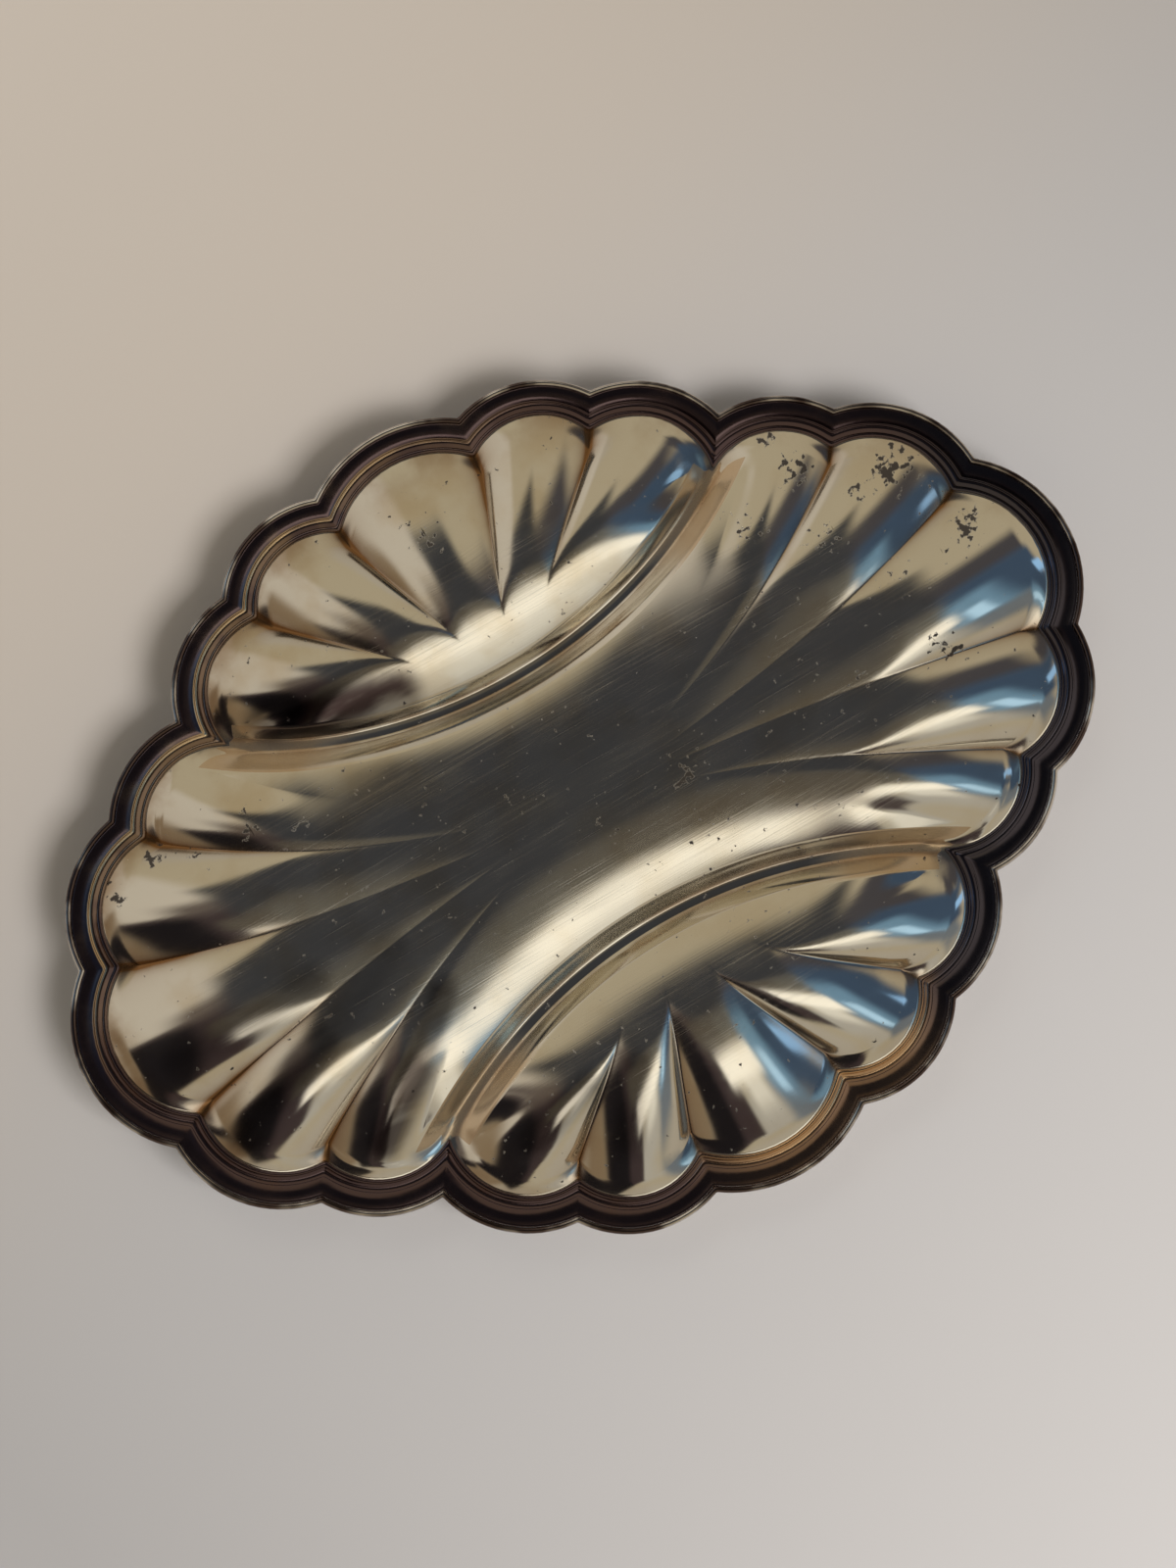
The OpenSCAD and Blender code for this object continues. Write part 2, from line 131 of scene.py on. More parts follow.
class Nodes:
    """The node tree of a material or of the world."""

    def __init__(self, owner: bpy.types.Material | bpy.types.World) -> None:
        """Empties the owner's node tree.

        Args:
            owner: The material or world whose nodes are made.
        """
        owner.use_nodes = True
        self.tree = owner.node_tree
        self.tree.nodes.clear()

    def add(
        self,
        kind: str,
        settings: dict[str, object] | None = None,
        sockets: dict[str | int, object] | None = None,
    ) -> bpy.types.Node:
        """Adds a node.

        Args:
            kind: Blender's name for the type of node.
            settings: The node's own settings, set first.
            sockets: A value, an output socket or a plain number for each input, by name or by number.

        Returns:
            The new node.
        """
        node = self.tree.nodes.new(kind)
        for name, setting in (settings or {}).items():
            setattr(node, name, setting)
        for name, given in (sockets or {}).items():
            if isinstance(given, Value):
                given = given.socket
            if isinstance(given, Socket):
                self.tree.links.new(given, node.inputs[name])
            else:
                node.inputs[name].default_value = given
        return node

    def value(
        self,
        kind: str,
        output: str | int,
        settings: dict[str, object] | None = None,
        sockets: dict[str | int, object] | None = None,
    ) -> Value:
        """Adds a node and returns one of its outputs as a value.

        Args:
            kind: Blender's name for the type of node.
            output: Which output, by name or by number.
            settings: As for add.
            sockets: As for add.

        Returns:
            The output as a value.
        """
        return Value(self, self.add(kind, settings, sockets).outputs[output])

    def maths(self, operation: str, first: Value | float, second: Value | float = 0.0) -> Value:
        """Adds a Math node on one or two values."""
        return self.value("ShaderNodeMath", 0, {"operation": operation}, {0: first, 1: second})

    def parts(self, vector: Socket) -> list[Value]:
        """The X, Y and Z of a vector."""
        return [Value(self, part) for part in self.add("ShaderNodeSeparateXYZ", None, {0: vector}).outputs]

    def place(self, scale: Sequence[float] = (1, 1, 1), turn: float = 0.0) -> Socket:
        """A place on the platter, stretched and turned about Z.

        Args:
            scale: Factors along X, Y and Z.
            turn: Turn about Z, in radians.

        Returns:
            A vector socket.
        """
        here = self.add("ShaderNodeTexCoord").outputs["Object"]
        sockets = {"Vector": here, "Rotation": (0, 0, turn), "Scale": tuple(scale)}
        return self.add("ShaderNodeMapping", {"vector_type": "POINT"}, sockets).outputs["Vector"]

    def noise(self, place: Socket, scale: float, detail: float) -> Value:
        """Cloudy noise from about 0.2 to 0.8.

        Args:
            place: Where it is read.
            scale: Clouds in each unit of the place.
            detail: How many finer layers it has.

        Returns:
            The noise.
        """
        sockets = {"Vector": place, "Scale": scale, "Detail": detail}
        return self.value("ShaderNodeTexNoise", 0, {"noise_dimensions": "3D"}, sockets)

    def attribute(self, name: str) -> Value:
        """A value that the mesh carries on its points."""
        return self.value("ShaderNodeAttribute", "Fac", {"attribute_name": name})

    def blend(self, share: Value | float, first: Colour | Socket, second: Colour | Socket) -> Socket:
        """Goes from one colour to another.

        Args:
            share: 0 for the first colour, 1 for the second.
            first: A colour, or a colour socket.
            second: A colour, or a colour socket.

        Returns:
            The colour socket.
        """
        colours = [(*c, 1.0) if isinstance(c, tuple) else c for c in (first, second)]
        settings = {"data_type": "RGBA", "clamp_factor": True}
        return self.add("ShaderNodeMix", settings, {0: share, 6: colours[0], 7: colours[1]}).outputs[2]

    def multiply(self, first: Socket, second: Socket) -> Socket:
        """One colour times another."""
        settings = {"data_type": "RGBA", "blend_type": "MULTIPLY"}
        return self.add("ShaderNodeMix", settings, {0: 1.0, 6: first, 7: second}).outputs[2]

    def bump(self, height: Value, depth: float, under: Socket | None = None) -> Socket:
        """Fine relief.

        Args:
            height: Height from 0 to 1.
            depth: What a height of 1 stands for, in metres.
            under: Coarser relief below it, if any.

        Returns:
            The normal socket.
        """
        sockets = {"Strength": 1.0, "Distance": depth, "Height": height}
        if under is not None:
            sockets["Normal"] = under
        return self.add("ShaderNodeBump", None, sockets).outputs["Normal"]

    def surface(self, sockets: dict[str | int, object]) -> None:
        """Ends the tree in a surface with the given inputs."""
        shader = self.add("ShaderNodeBsdfPrincipled", None, sockets).outputs[0]
        self.add("ShaderNodeOutputMaterial", None, {"Surface": shader})

    def metal(self, colour: Socket, roughness: Value, normal: Socket, bare: Value | float) -> None:
        """Ends the tree in a metal surface.

        Args:
            colour: Base colour.
            roughness: Roughness.
            normal: Relief.
            bare: How much of the surface is bare metal.
        """
        self.surface({"Base Color": colour, "Roughness": roughness, "Normal": normal, "Metallic": bare})


class Mask(Enum):
    """Values that the points carry for their wear and for painted dark reflections: the last on border and
    wire, the others on the pan.
    """

    CREASE = "crease"
    WALL = "wall"
    CREST = "crest"
    AGE = "age"
    STAIN = "stain"
    GILT = "gilt"
    SMUDGE = "smudge"
    ACROSS = "across"


PAN_MASKS = tuple(mask for mask in Mask if mask is not Mask.ACROSS)


def mix(first: float | Array, second: float | Array, share: float | Array) -> float | Array:
    """Goes from one value to another."""
    return first + (second - first) * share


def heading(v: Array) -> Array:
    """Angle of plan vectors from +X."""
    return np.arctan2(v[..., 1], v[..., 0])


def toward(angle: Array) -> Array:
    """Plan vectors of length 1 at angles from +X."""
    return np.stack([np.cos(angle), np.sin(angle)], -1)


def curve(u: Array, start: float | Array, end: float | Array) -> Array:
    """A curve from 0 to 1 with given slopes at its start and end."""
    return start * u * (1 - u) ** 2 + u * u * (3 - 2 * u) + end * u * u * (u - 1)


def step(x: Array, low: float, high: float) -> Array:
    """A smooth step from 0 at one value to 1 at another."""
    t = np.clip((x - low) / (high - low), 0, 1)
    return t * t * (3 - 2 * t)


def shown(name: str, data: bpy.types.ID) -> bpy.types.Object:
    """Makes an object and puts it in the scene.

    Args:
        name: Its name.
        data: Its mesh, light or camera.

    Returns:
        The object.
    """
    made = bpy.data.objects.new(name, data)
    bpy.context.scene.collection.objects.link(made)
    return made


def crossing(c1: Array, r1: Array, c2: Array, r2: Array, near: Array) -> Array:
    """Where two circles cross.

    Args:
        c1: Centre of the first circle.
        r1: Its radii, one for each answer.
        c2: Centre of the second circle.
        r2: Its radii.
        near: The crossing nearer to this point is taken.

    Returns:
        The crossings.
    """
    gap = np.linalg.norm(c2 - c1)
    along = (c2 - c1) / gap
    across = np.array([-along[1], along[0]])
    a = np.asarray((gap * gap + r1 * r1 - r2 * r2) / (2 * gap))[..., None]
    h = np.sqrt(np.maximum(0, np.asarray(r1)[..., None] ** 2 - a * a))
    one, other = c1 + a * along + h * across, c1 + a * along - h * across
    first = np.linalg.norm(one - near, axis=-1) < np.linalg.norm(other - near, axis=-1)
    return np.where(first[..., None], one, other)


@dataclass
class Patch:
    """A grid of points, with the values that they carry."""

    points: Array
    masks: dict[Mask, Array] = field(default_factory=dict)

    def turned(self) -> "Patch":
        """The same patch with its faces turned over."""
        return Patch(self.points[:, ::-1], {name: mask[:, ::-1] for name, mask in self.masks.items()})

    def mirrored(self, x: int, y: int) -> "Patch":
        """The same patch in another quarter.

        Args:
            x: 1 or -1.
            y: 1 or -1.

        Returns:
            The mirrored patch, with its columns turned round where its faces would turn over.
        """
        order = slice(None) if x * y > 0 else slice(None, None, -1)
        points = (self.points * np.array([x, y, 1]))[:, order]
        return Patch(points, {name: mask[:, order] for name, mask in self.masks.items()})


@dataclass
class Skin:
    """A welded surface: points, faces and the values that the points carry."""

    points: Array
    faces: list[list[int]]
    masks: dict[Mask, Array]

    @classmethod
    def of(cls, patches: Sequence[Patch]) -> "Skin":
        """Welds patches where their points meet.

        Args:
            patches: The patches; all carry the same masks.

        Returns:
            The welded surface.
        """
        points = np.concatenate([p.points.reshape(-1, 3) for p in patches])
        cells = np.round(points / WELD)
        _, kept, number = np.unique(cells, axis=0, return_index=True, return_inverse=True)
        number = number.reshape(-1)
        faces, start = [], 0
        for patch in patches:
            rows, columns = patch.points.shape[:2]
            grid = number[start : start + rows * columns].reshape(rows, columns)
            start += rows * columns
            corners = (grid[:-1, :-1], grid[1:, :-1], grid[1:, 1:], grid[:-1, 1:])
            for quad in np.stack(corners, -1).reshape(-1, 4).tolist():
                face = [v for n, v in enumerate(quad) if v != quad[n - 1]]
                if len(set(face)) == len(face) >= 3:
                    faces.append(face)
        names = patches[0].masks
        masks = {n: np.concatenate([p.masks[n].reshape(-1) for p in patches])[kept] for n in names}
        return cls(points[kept], faces, masks)

    def areas(self) -> Array:
        """Works out the area that each point stands for, in plan.

        Returns:
            Areas, one for each point.
        """
        out = np.zeros(len(self.points))
        for face in self.faces:
            x, y = self.points[face, 0], self.points[face, 1]
            share = abs(np.dot(x, np.roll(y, -1)) - np.dot(y, np.roll(x, -1))) / (2 * len(face))
            out[face] += share
        return out

    def thickened(self, depth: float) -> "Skin":
        """Adds the underside and the edge of a sheet.

        Args:
            depth: Thickness of the sheet, measured upright.

        Returns:
            The closed surface.
        """
        count = len(self.points)
        under = [[v + count for v in reversed(face)] for face in self.faces]
        edges = {(a, b) for face in self.faces for a, b in zip(face, face[1:] + face[:1])}
        rim = [[b, a, a + count, b + count] for a, b in sorted(edges) if (b, a) not in edges]
        points = np.concatenate([self.points, self.points - [0, 0, depth]])
        masks = {name: np.concatenate([mask, mask]) for name, mask in self.masks.items()}
        return Skin(points, self.faces + under + rim, masks)

    def piece(self, name: str, sharp: float) -> bpy.types.Object:
        """Makes the surface a smooth object.

        Args:
            name: The piece's name.
            sharp: Edges that bend more than this stay sharp, in radians.

        Returns:
            The object, in the scene.
        """
        mesh = bpy.data.meshes.new(name)
        mesh.from_pydata(self.points.tolist(), [], self.faces)
        mesh.polygons.foreach_set("use_smooth", [True] * len(mesh.polygons))
        mesh.set_sharp_from_angle(angle=sharp)
        for mask, values in self.masks.items():
            layer = mesh.attributes.new(mask.value, "FLOAT", "POINT")
            layer.data.foreach_set("value", values.astype(np.float32))
        return shown(name, mesh)


class Lobe(Enum):
    """Numbers of the lobes that are called by name: the end tip, and those beside the divider's end."""

    END_TIP = 19
    END_CORNER = 1
    SIDE_CORNER = 2


@dataclass(frozen=True)
class Outline:
    """The scalloped outline: twenty notches with a round lobe from each to the next."""

    end_tip_notch: tuple[float, float] = (170 * MM, 32.7 * MM)
    end_shoulder_notch: tuple[float, float] = (138.2 * MM, 71.1 * MM)
    divider_notch: tuple[float, float] = (103.9 * MM, 89 * MM)
    side_shoulder_notch: tuple[float, float] = (70.6 * MM, 117.6 * MM)
    side_tip_notch: tuple[float, float] = (27.5 * MM, 131.6 * MM)
    end_tip_bulge: float = 14.9 * MM
    end_shoulder_bulge: float = 8.8 * MM
    end_corner_bulge: float = 5.3 * MM
    side_corner_bulge: float = 6.9 * MM
    side_shoulder_bulge: float = 7.8 * MM
    side_tip_bulge: float = 8.9 * MM
    half_steps: int = 13
    crowding: float = 1.8
    arc_steps: int = 96
    ring_steps: int = 4096

    def notches(self) -> Array:
        """Gathers all twenty notches.

        Returns:
            Plan points, counted round from the end tip lobe at +X.
        """
        quarter = np.array([
            self.end_tip_notch,
            self.end_shoulder_notch,
            self.divider_notch,
            self.side_shoulder_notch,
            self.side_tip_notch,
        ])
        back = quarter[::-1]
        return np.concatenate([quarter, back * [-1, 1], -quarter, back * [1, -1]])

    def circle(self, lobe: int) -> tuple[Array, float]:
        """Centre and radius of a lobe.

        Args:
            lobe: Its number.

        Returns:
            The centre and the radius of its circle.
        """
        notches = self.notches()
        sides = [
            self.end_shoulder_bulge,
            self.end_corner_bulge,
            self.side_corner_bulge,
            self.side_shoulder_bulge,
        ]
        bulge = [*sides, self.side_tip_bulge, *sides[::-1], self.end_tip_bulge][lobe % (LOBES // 2)]
        start, end = notches[lobe % LOBES], notches[(lobe + 1) % LOBES]
        chord = end - start
        length = np.linalg.norm(chord)
        radius = (length * length / 4 + bulge * bulge) / (2 * bulge)
        inward = np.array([-chord[1], chord[0]]) / length
        return (start + end) / 2 + inward * (radius - bulge), radius

    def notch_at(self, notch: int, depth: Array) -> Array:
        """Moves a notch in from the outline.

        Args:
            notch: Its number.
            depth: Depths from the outline.

        Returns:
            Plan points, one for each depth.
        """
        c1, r1 = self.circle(notch - 1)
        c2, r2 = self.circle(notch)
        return crossing(c1, r1 - depth, c2, r2 - depth, self.notches()[notch % LOBES])

    def arc(self, lobe: int, depth: Array, start: Array, end: Array, shares: Array) -> Array:
        """Points along a lobe's arcs.

        Args:
            lobe: Its number.
            depth: Depths from the outline, one for each row.
            start: Where each row starts.
            end: Where each row ends.
            shares: Places along the arc, from 0 to 1, one for each column.

        Returns:
            Rows of plan points.
        """
        centre, radius = self.circle(lobe)
        first = heading(start - centre)
        sweep = (heading(end - centre) - first) % math.tau
        angle = first[:, None] + sweep[:, None] * shares[None, :]
        return centre + (radius - depth)[:, None, None] * toward(angle)

    def half_lobe(self, half: int) -> Array:
        """Phases along half a lobe: 0 in its middle and 1 or -1 at its notches, crowding towards them."""
        run = 1 - (1 - np.linspace(0, 1, self.half_steps + 1)) ** self.crowding
        return -run[::-1] if half % 2 else run

    @staticmethod
    def part(halves: Array, phases: Array) -> Array:
        """How far along its half lobe each column lies, from 0 to 1."""
        return np.where(halves % 2 == 1, 1 + phases, phases)

    def columns(self, halves: Sequence[int]) -> tuple[Array, Array]:
        """Columns along a run of half lobes.

        Args:
            halves: Numbers of the half lobes, counted from the end tip's middle.

        Returns:
            The half lobe and the phase of each column.
        """
        numbers, phases = [], []
        for count, half in enumerate(halves):
            run = self.half_lobe(half)[1 if count else 0 :]
            numbers.append(np.full(len(run), half))
            phases.append(run)
        return np.concatenate(numbers), np.concatenate(phases)

    def ring(self, depth: float, rounding: float) -> Array:
        """A quarter of the outline at a depth, with its notches rounded.

        Args:
            depth: Depth from the outline.
            rounding: How far the rounding of a notch spreads along the ring.

        Returns:
            Plan points, one for each column of the ten half lobes.
        """
        shares = np.linspace(0, 1, self.arc_steps, endpoint=False)
        deep = np.array([depth])
        loop, lengths = [], []
        for n in range(LOBES):
            lobe = (Lobe.END_TIP.value + n) % LOBES
            run = self.arc(lobe, deep, self.notch_at(lobe, deep), self.notch_at(lobe + 1, deep), shares)[0]
            loop.append(run)
            lengths.append(np.linalg.norm(run[1] - run[0]) * len(shares))
        loop = np.concatenate(loop)
        starts = np.concatenate([[0], np.cumsum(lengths)])
        at = np.concatenate([starts[n] + lengths[n] * shares for n in range(LOBES)])
        even = np.linspace(0, starts[-1], self.ring_steps, endpoint=False)
        waves = np.fft.rfftfreq(self.ring_steps, starts[-1] / self.ring_steps)
        soft = np.exp(-2 * (math.pi * waves * rounding) ** 2)
        halves, phases = self.columns(ALL_HALVES)
        lobe_of = (halves + 1) // 2
        wanted = starts[lobe_of] + np.array(lengths)[lobe_of] * (phases + 1) / 2
        out = []
        for axis in range(2):
            run = np.interp(even, at, loop[:, axis], period=starts[-1])
            smooth = np.fft.irfft(np.fft.rfft(run) * soft, self.ring_steps)
            out.append(np.interp(wanted, even, smooth, period=starts[-1]))
        return np.stack(out, -1)


@dataclass(frozen=True)
class Stain:
    """A cluster of dark spots at a place on the pan."""

    x: float
    y: float
    spread: float
    amount: float


@dataclass(frozen=True)
class DarkReflection:
    """A long patch of painted dark reflection on the pan, between two places in plan."""

    start: tuple[float, float]
    end: tuple[float, float]
    width: float
    amount: float


@dataclass(frozen=True)
class SilverPlate:
    """Finish of the pan: brushed, worn silver, brown along its creases, golden where the dividers end.

    Dark spots and dashes lie where it is stained, and long painted dark reflections lie on some flutes. The
    stretches are clouds in a metre along X, Y and Z.
    """

    silver: Colour = (0.80, 0.77, 0.70)
    yellowed: Colour = (0.62, 0.50, 0.32)
    brown: Colour = (0.27, 0.14, 0.06)
    gold: Colour = (0.46, 0.29, 0.125)
    spot: Colour = (0.022, 0.016, 0.014)
    # Colour of the painted dark reflections on some flutes.
    dark_reflection_colour: Colour = (0.052, 0.036, 0.036)
    polish: float = 0.07
    least_roughness: float = 0.05
    brush_depth: float = 0.0045 * MM
    dent_depth: float = 0.10 * MM
    flat_up_to: float = 2 * MM
    sloped_from: float = 9 * MM
    cloud_scale: float = 42
    dent_scale: float = 26
    grit_scale: float = 400
    smear_stretch: tuple[float, float, float] = (30, 90, 30)
    smear_turn: float = 0.5
    streak_stretch: tuple[float, float, float] = (18, 2200, 30)
    scratch_stretch: tuple[float, float, float] = (40, 4200, 60)
    dash_stretch: tuple[float, float, float] = (420, 60, 60)
    dash_turn: float = 0.9
    dash_most: float = 1.5

    def material(self) -> bpy.types.Material:
        """Makes the material.

        Returns:
            The material.
        """
        made = bpy.data.materials.new("silver_plate")
        nodes = Nodes(made)
        crease, wall, crest, age, stain, gilt, smudge = (nodes.attribute(mask.value) for mask in PAN_MASKS)
        here = nodes.place()
        clouds = nodes.noise(here, self.cloud_scale, 4)
        smears = nodes.noise(nodes.place(self.smear_stretch, self.smear_turn), 1, 3)
        streaks = nodes.noise(nodes.place(self.streak_stretch), 1, 3)
        fine = nodes.noise(nodes.place(self.scratch_stretch), 1, 2)
        dashes = nodes.noise(nodes.place(self.dash_stretch, self.dash_turn), 1, 2)
        grit = nodes.noise(here, self.grit_scale, 5)
        flat = nodes.parts(here)[2].step(self.sloped_from, self.flat_up_to)

        # Tarnish, spots and marks.
        ragged = (clouds - 0.5) * 1.1 + 1
        browned = (crease * (age * 1.1 + 0.4) * ragged).at_most(1)
        edged = wall * age * clouds.step(0.35, 0.62) * 0.75
        lined = crest * 0.6 * clouds.step(0.3, 0.6)
        tarnish = browned.at_least(edged).at_least(lined)
        spots = (grit + clouds * 0.25 + stain * 0.27).step(0.81, 0.88) * 0.95
        nicks = dashes.step(0.74, 0.8) * clouds.step(0.5, 0.6) * flat
        etched = (dashes + stain * 0.16).step(0.76, 0.80) * stain.step(0.25, 0.5) * self.dash_most
        marks = nicks.at_least(etched).at_most(self.dash_most)

        # Colour, from the silver up to the spots.
        colour = nodes.blend(clouds.step(0.42, 0.7) * (age * 0.5 + 0.1), self.silver, self.yellowed)
        golden = gilt * (clouds * 0.5 + 0.45)
        colour = nodes.blend(golden, colour, self.gold)
        # Painted dark reflection: long dark patches on some flutes, where the room mirrors nothing dark.
        dark_reflection_share = smudge * (smears.step(0.3, 0.55) * 0.35 + 0.65)
        colour = nodes.blend(dark_reflection_share, colour, self.dark_reflection_colour)
        colour = nodes.blend(tarnish, colour, self.brown)
        colour = nodes.blend(spots.at_least(marks * 0.6), colour, self.spot)

        # Gloss and relief.
        haze = smears.step(0.42, 0.66) * 0.04
        rubbed = streaks.step(0.45, 0.8) * 0.12 + fine.step(0.55, 0.75) * 0.12
        brushed = flat * 0.05 + rubbed * (flat * 0.9 + 0.1)
        roughness = self.polish + haze + brushed + tarnish * 0.2 + golden * 0.16 + spots * 0.35
        ripple = nodes.bump(nodes.noise(here, self.dent_scale, 1), self.dent_depth)
        lines = streaks * 2.2 * (flat * 0.7 + 0.3) + fine * (flat * 0.6 + 0.4)
        relief = nodes.bump(lines, self.brush_depth, ripple)
        bare = 1 - spots * 0.7 - golden * (1 - spots) * 0.25
        nodes.metal(colour, roughness.at_least(self.least_roughness), relief, bare)
        return made


@dataclass(frozen=True)
class BrownedPlate:
    """Finish of the border: silver plate gone dark brown, with a painted dark bluish reflection at one side.

    At the other side a reed is worn to a golden line that carries a painted highlight, and a stretch at -Y
    is rubbed to copper with a painted sheen.
    """

    brown: Colour = (0.125, 0.088, 0.094)
    # Painted dark bluish reflection, on one side of the border.
    dark_bluish_reflection: Colour = (0.080, 0.073, 0.090)
    # Worn golden line on the reed, with a painted highlight.
    worn_and_highlit: Colour = (0.66, 0.48, 0.29)
    rusty: Colour = (0.22, 0.12, 0.07)
    # Rubbed copper, with a painted sheen.
    copper_sheen: Colour = (0.72, 0.47, 0.27)
    # Axis of the side with the painted dark reflection; the painted highlight lies at the other side.
    dark_reflection_side: tuple[float, float] = (0.864, -0.503)
    dark_reflection_aside: tuple[float, float] = (90 * MM, 128 * MM)
    highlight_aside: tuple[float, float] = (20 * MM, -100 * MM)
    highlight_upward: tuple[float, float] = (-110 * MM, -50 * MM)
    copper_from_x: tuple[float, float] = (-40 * MM, 0)
    copper_to_x: tuple[float, float] = (72 * MM, 50 * MM)
    copper_y: tuple[float, float] = (-60 * MM, -95 * MM)
    polish: float = 0.16
    pit_depth: float = 0.08 * MM
    cloud_scale: float = 60
    grit_scale: float = 700

    def material(self) -> bpy.types.Material:
        """Makes the material.

        Returns:
            The material.
        """
        made = bpy.data.materials.new("browned_plate")
        nodes = Nodes(made)
        here = nodes.place()
        clouds = nodes.noise(here, self.cloud_scale, 4)
        grit = nodes.noise(here, self.grit_scale, 3)
        across = nodes.attribute(Mask.ACROSS.value)
        x, y, _ = nodes.parts(here)
        aside = x * self.dark_reflection_side[0] + y * self.dark_reflection_side[1]
        upward = y * self.dark_reflection_side[0] - x * self.dark_reflection_side[1]
        # Painted highlight: the golden worn line on the reeds shows on this side alone, where the bright
        # light is mirrored.
        left = aside.step(*self.highlight_aside) * upward.step(*self.highlight_upward)
        # Painted dark bluish reflection on this side of the border.
        right = aside.step(*self.dark_reflection_aside)
        # Copper rubbed bright along -Y, with a painted sheen on that side.
        rubbed = x.step(*self.copper_from_x) * x.step(*self.copper_to_x) * y.step(*self.copper_y)
        line = across.step(0.58, 0.63) * across.step(0.76, 0.70)
        inner = across.step(0.68, 0.76)
        worn_and_highlit = (line * (clouds.step(0.25, 0.5) * 0.6 + 0.4) + inner * clouds.step(0.3, 0.6) * 0.3) * left
        patches = clouds.step(0.52, 0.72) * 0.2 * (1 - right)
        colour = nodes.blend(right, self.brown, self.dark_bluish_reflection)
        colour = nodes.blend(worn_and_highlit.at_least(patches), colour, nodes.blend(left, self.rusty, self.worn_and_highlit))
        colour = nodes.blend(rubbed * clouds.step(0.2, 0.45) * (inner * 0.6 + 0.3), colour, self.copper_sheen)
        roughness = self.polish + (grit - 0.5) * 0.12 + clouds.step(0.4, 0.7) * 0.1
        nodes.metal(colour, roughness, nodes.bump(clouds, self.pit_depth), 1.0)
        return made


@dataclass(frozen=True)
class EdgeSilver:
    """Finish of the edge wire: silver rubbed bright, with brown left in places."""

    silver: Colour = (0.66, 0.62, 0.58)
    brown: Colour = (0.105, 0.075, 0.068)
    polish: float = 0.14
    pit_depth: float = 0.05 * MM
    cloud_scale: float = 55

    def material(self) -> bpy.types.Material:
        """Makes the material.

        Returns:
            The material.
        """
        made = bpy.data.materials.new("edge_silver")
        nodes = Nodes(made)
        clouds = nodes.noise(nodes.place(), self.cloud_scale, 3)
        colour = nodes.blend(clouds.step(0.36, 0.56), self.silver, self.brown)
        roughness = self.polish + clouds * 0.12
        nodes.metal(colour, roughness, nodes.bump(clouds, self.pit_depth), 1.0)
        return made


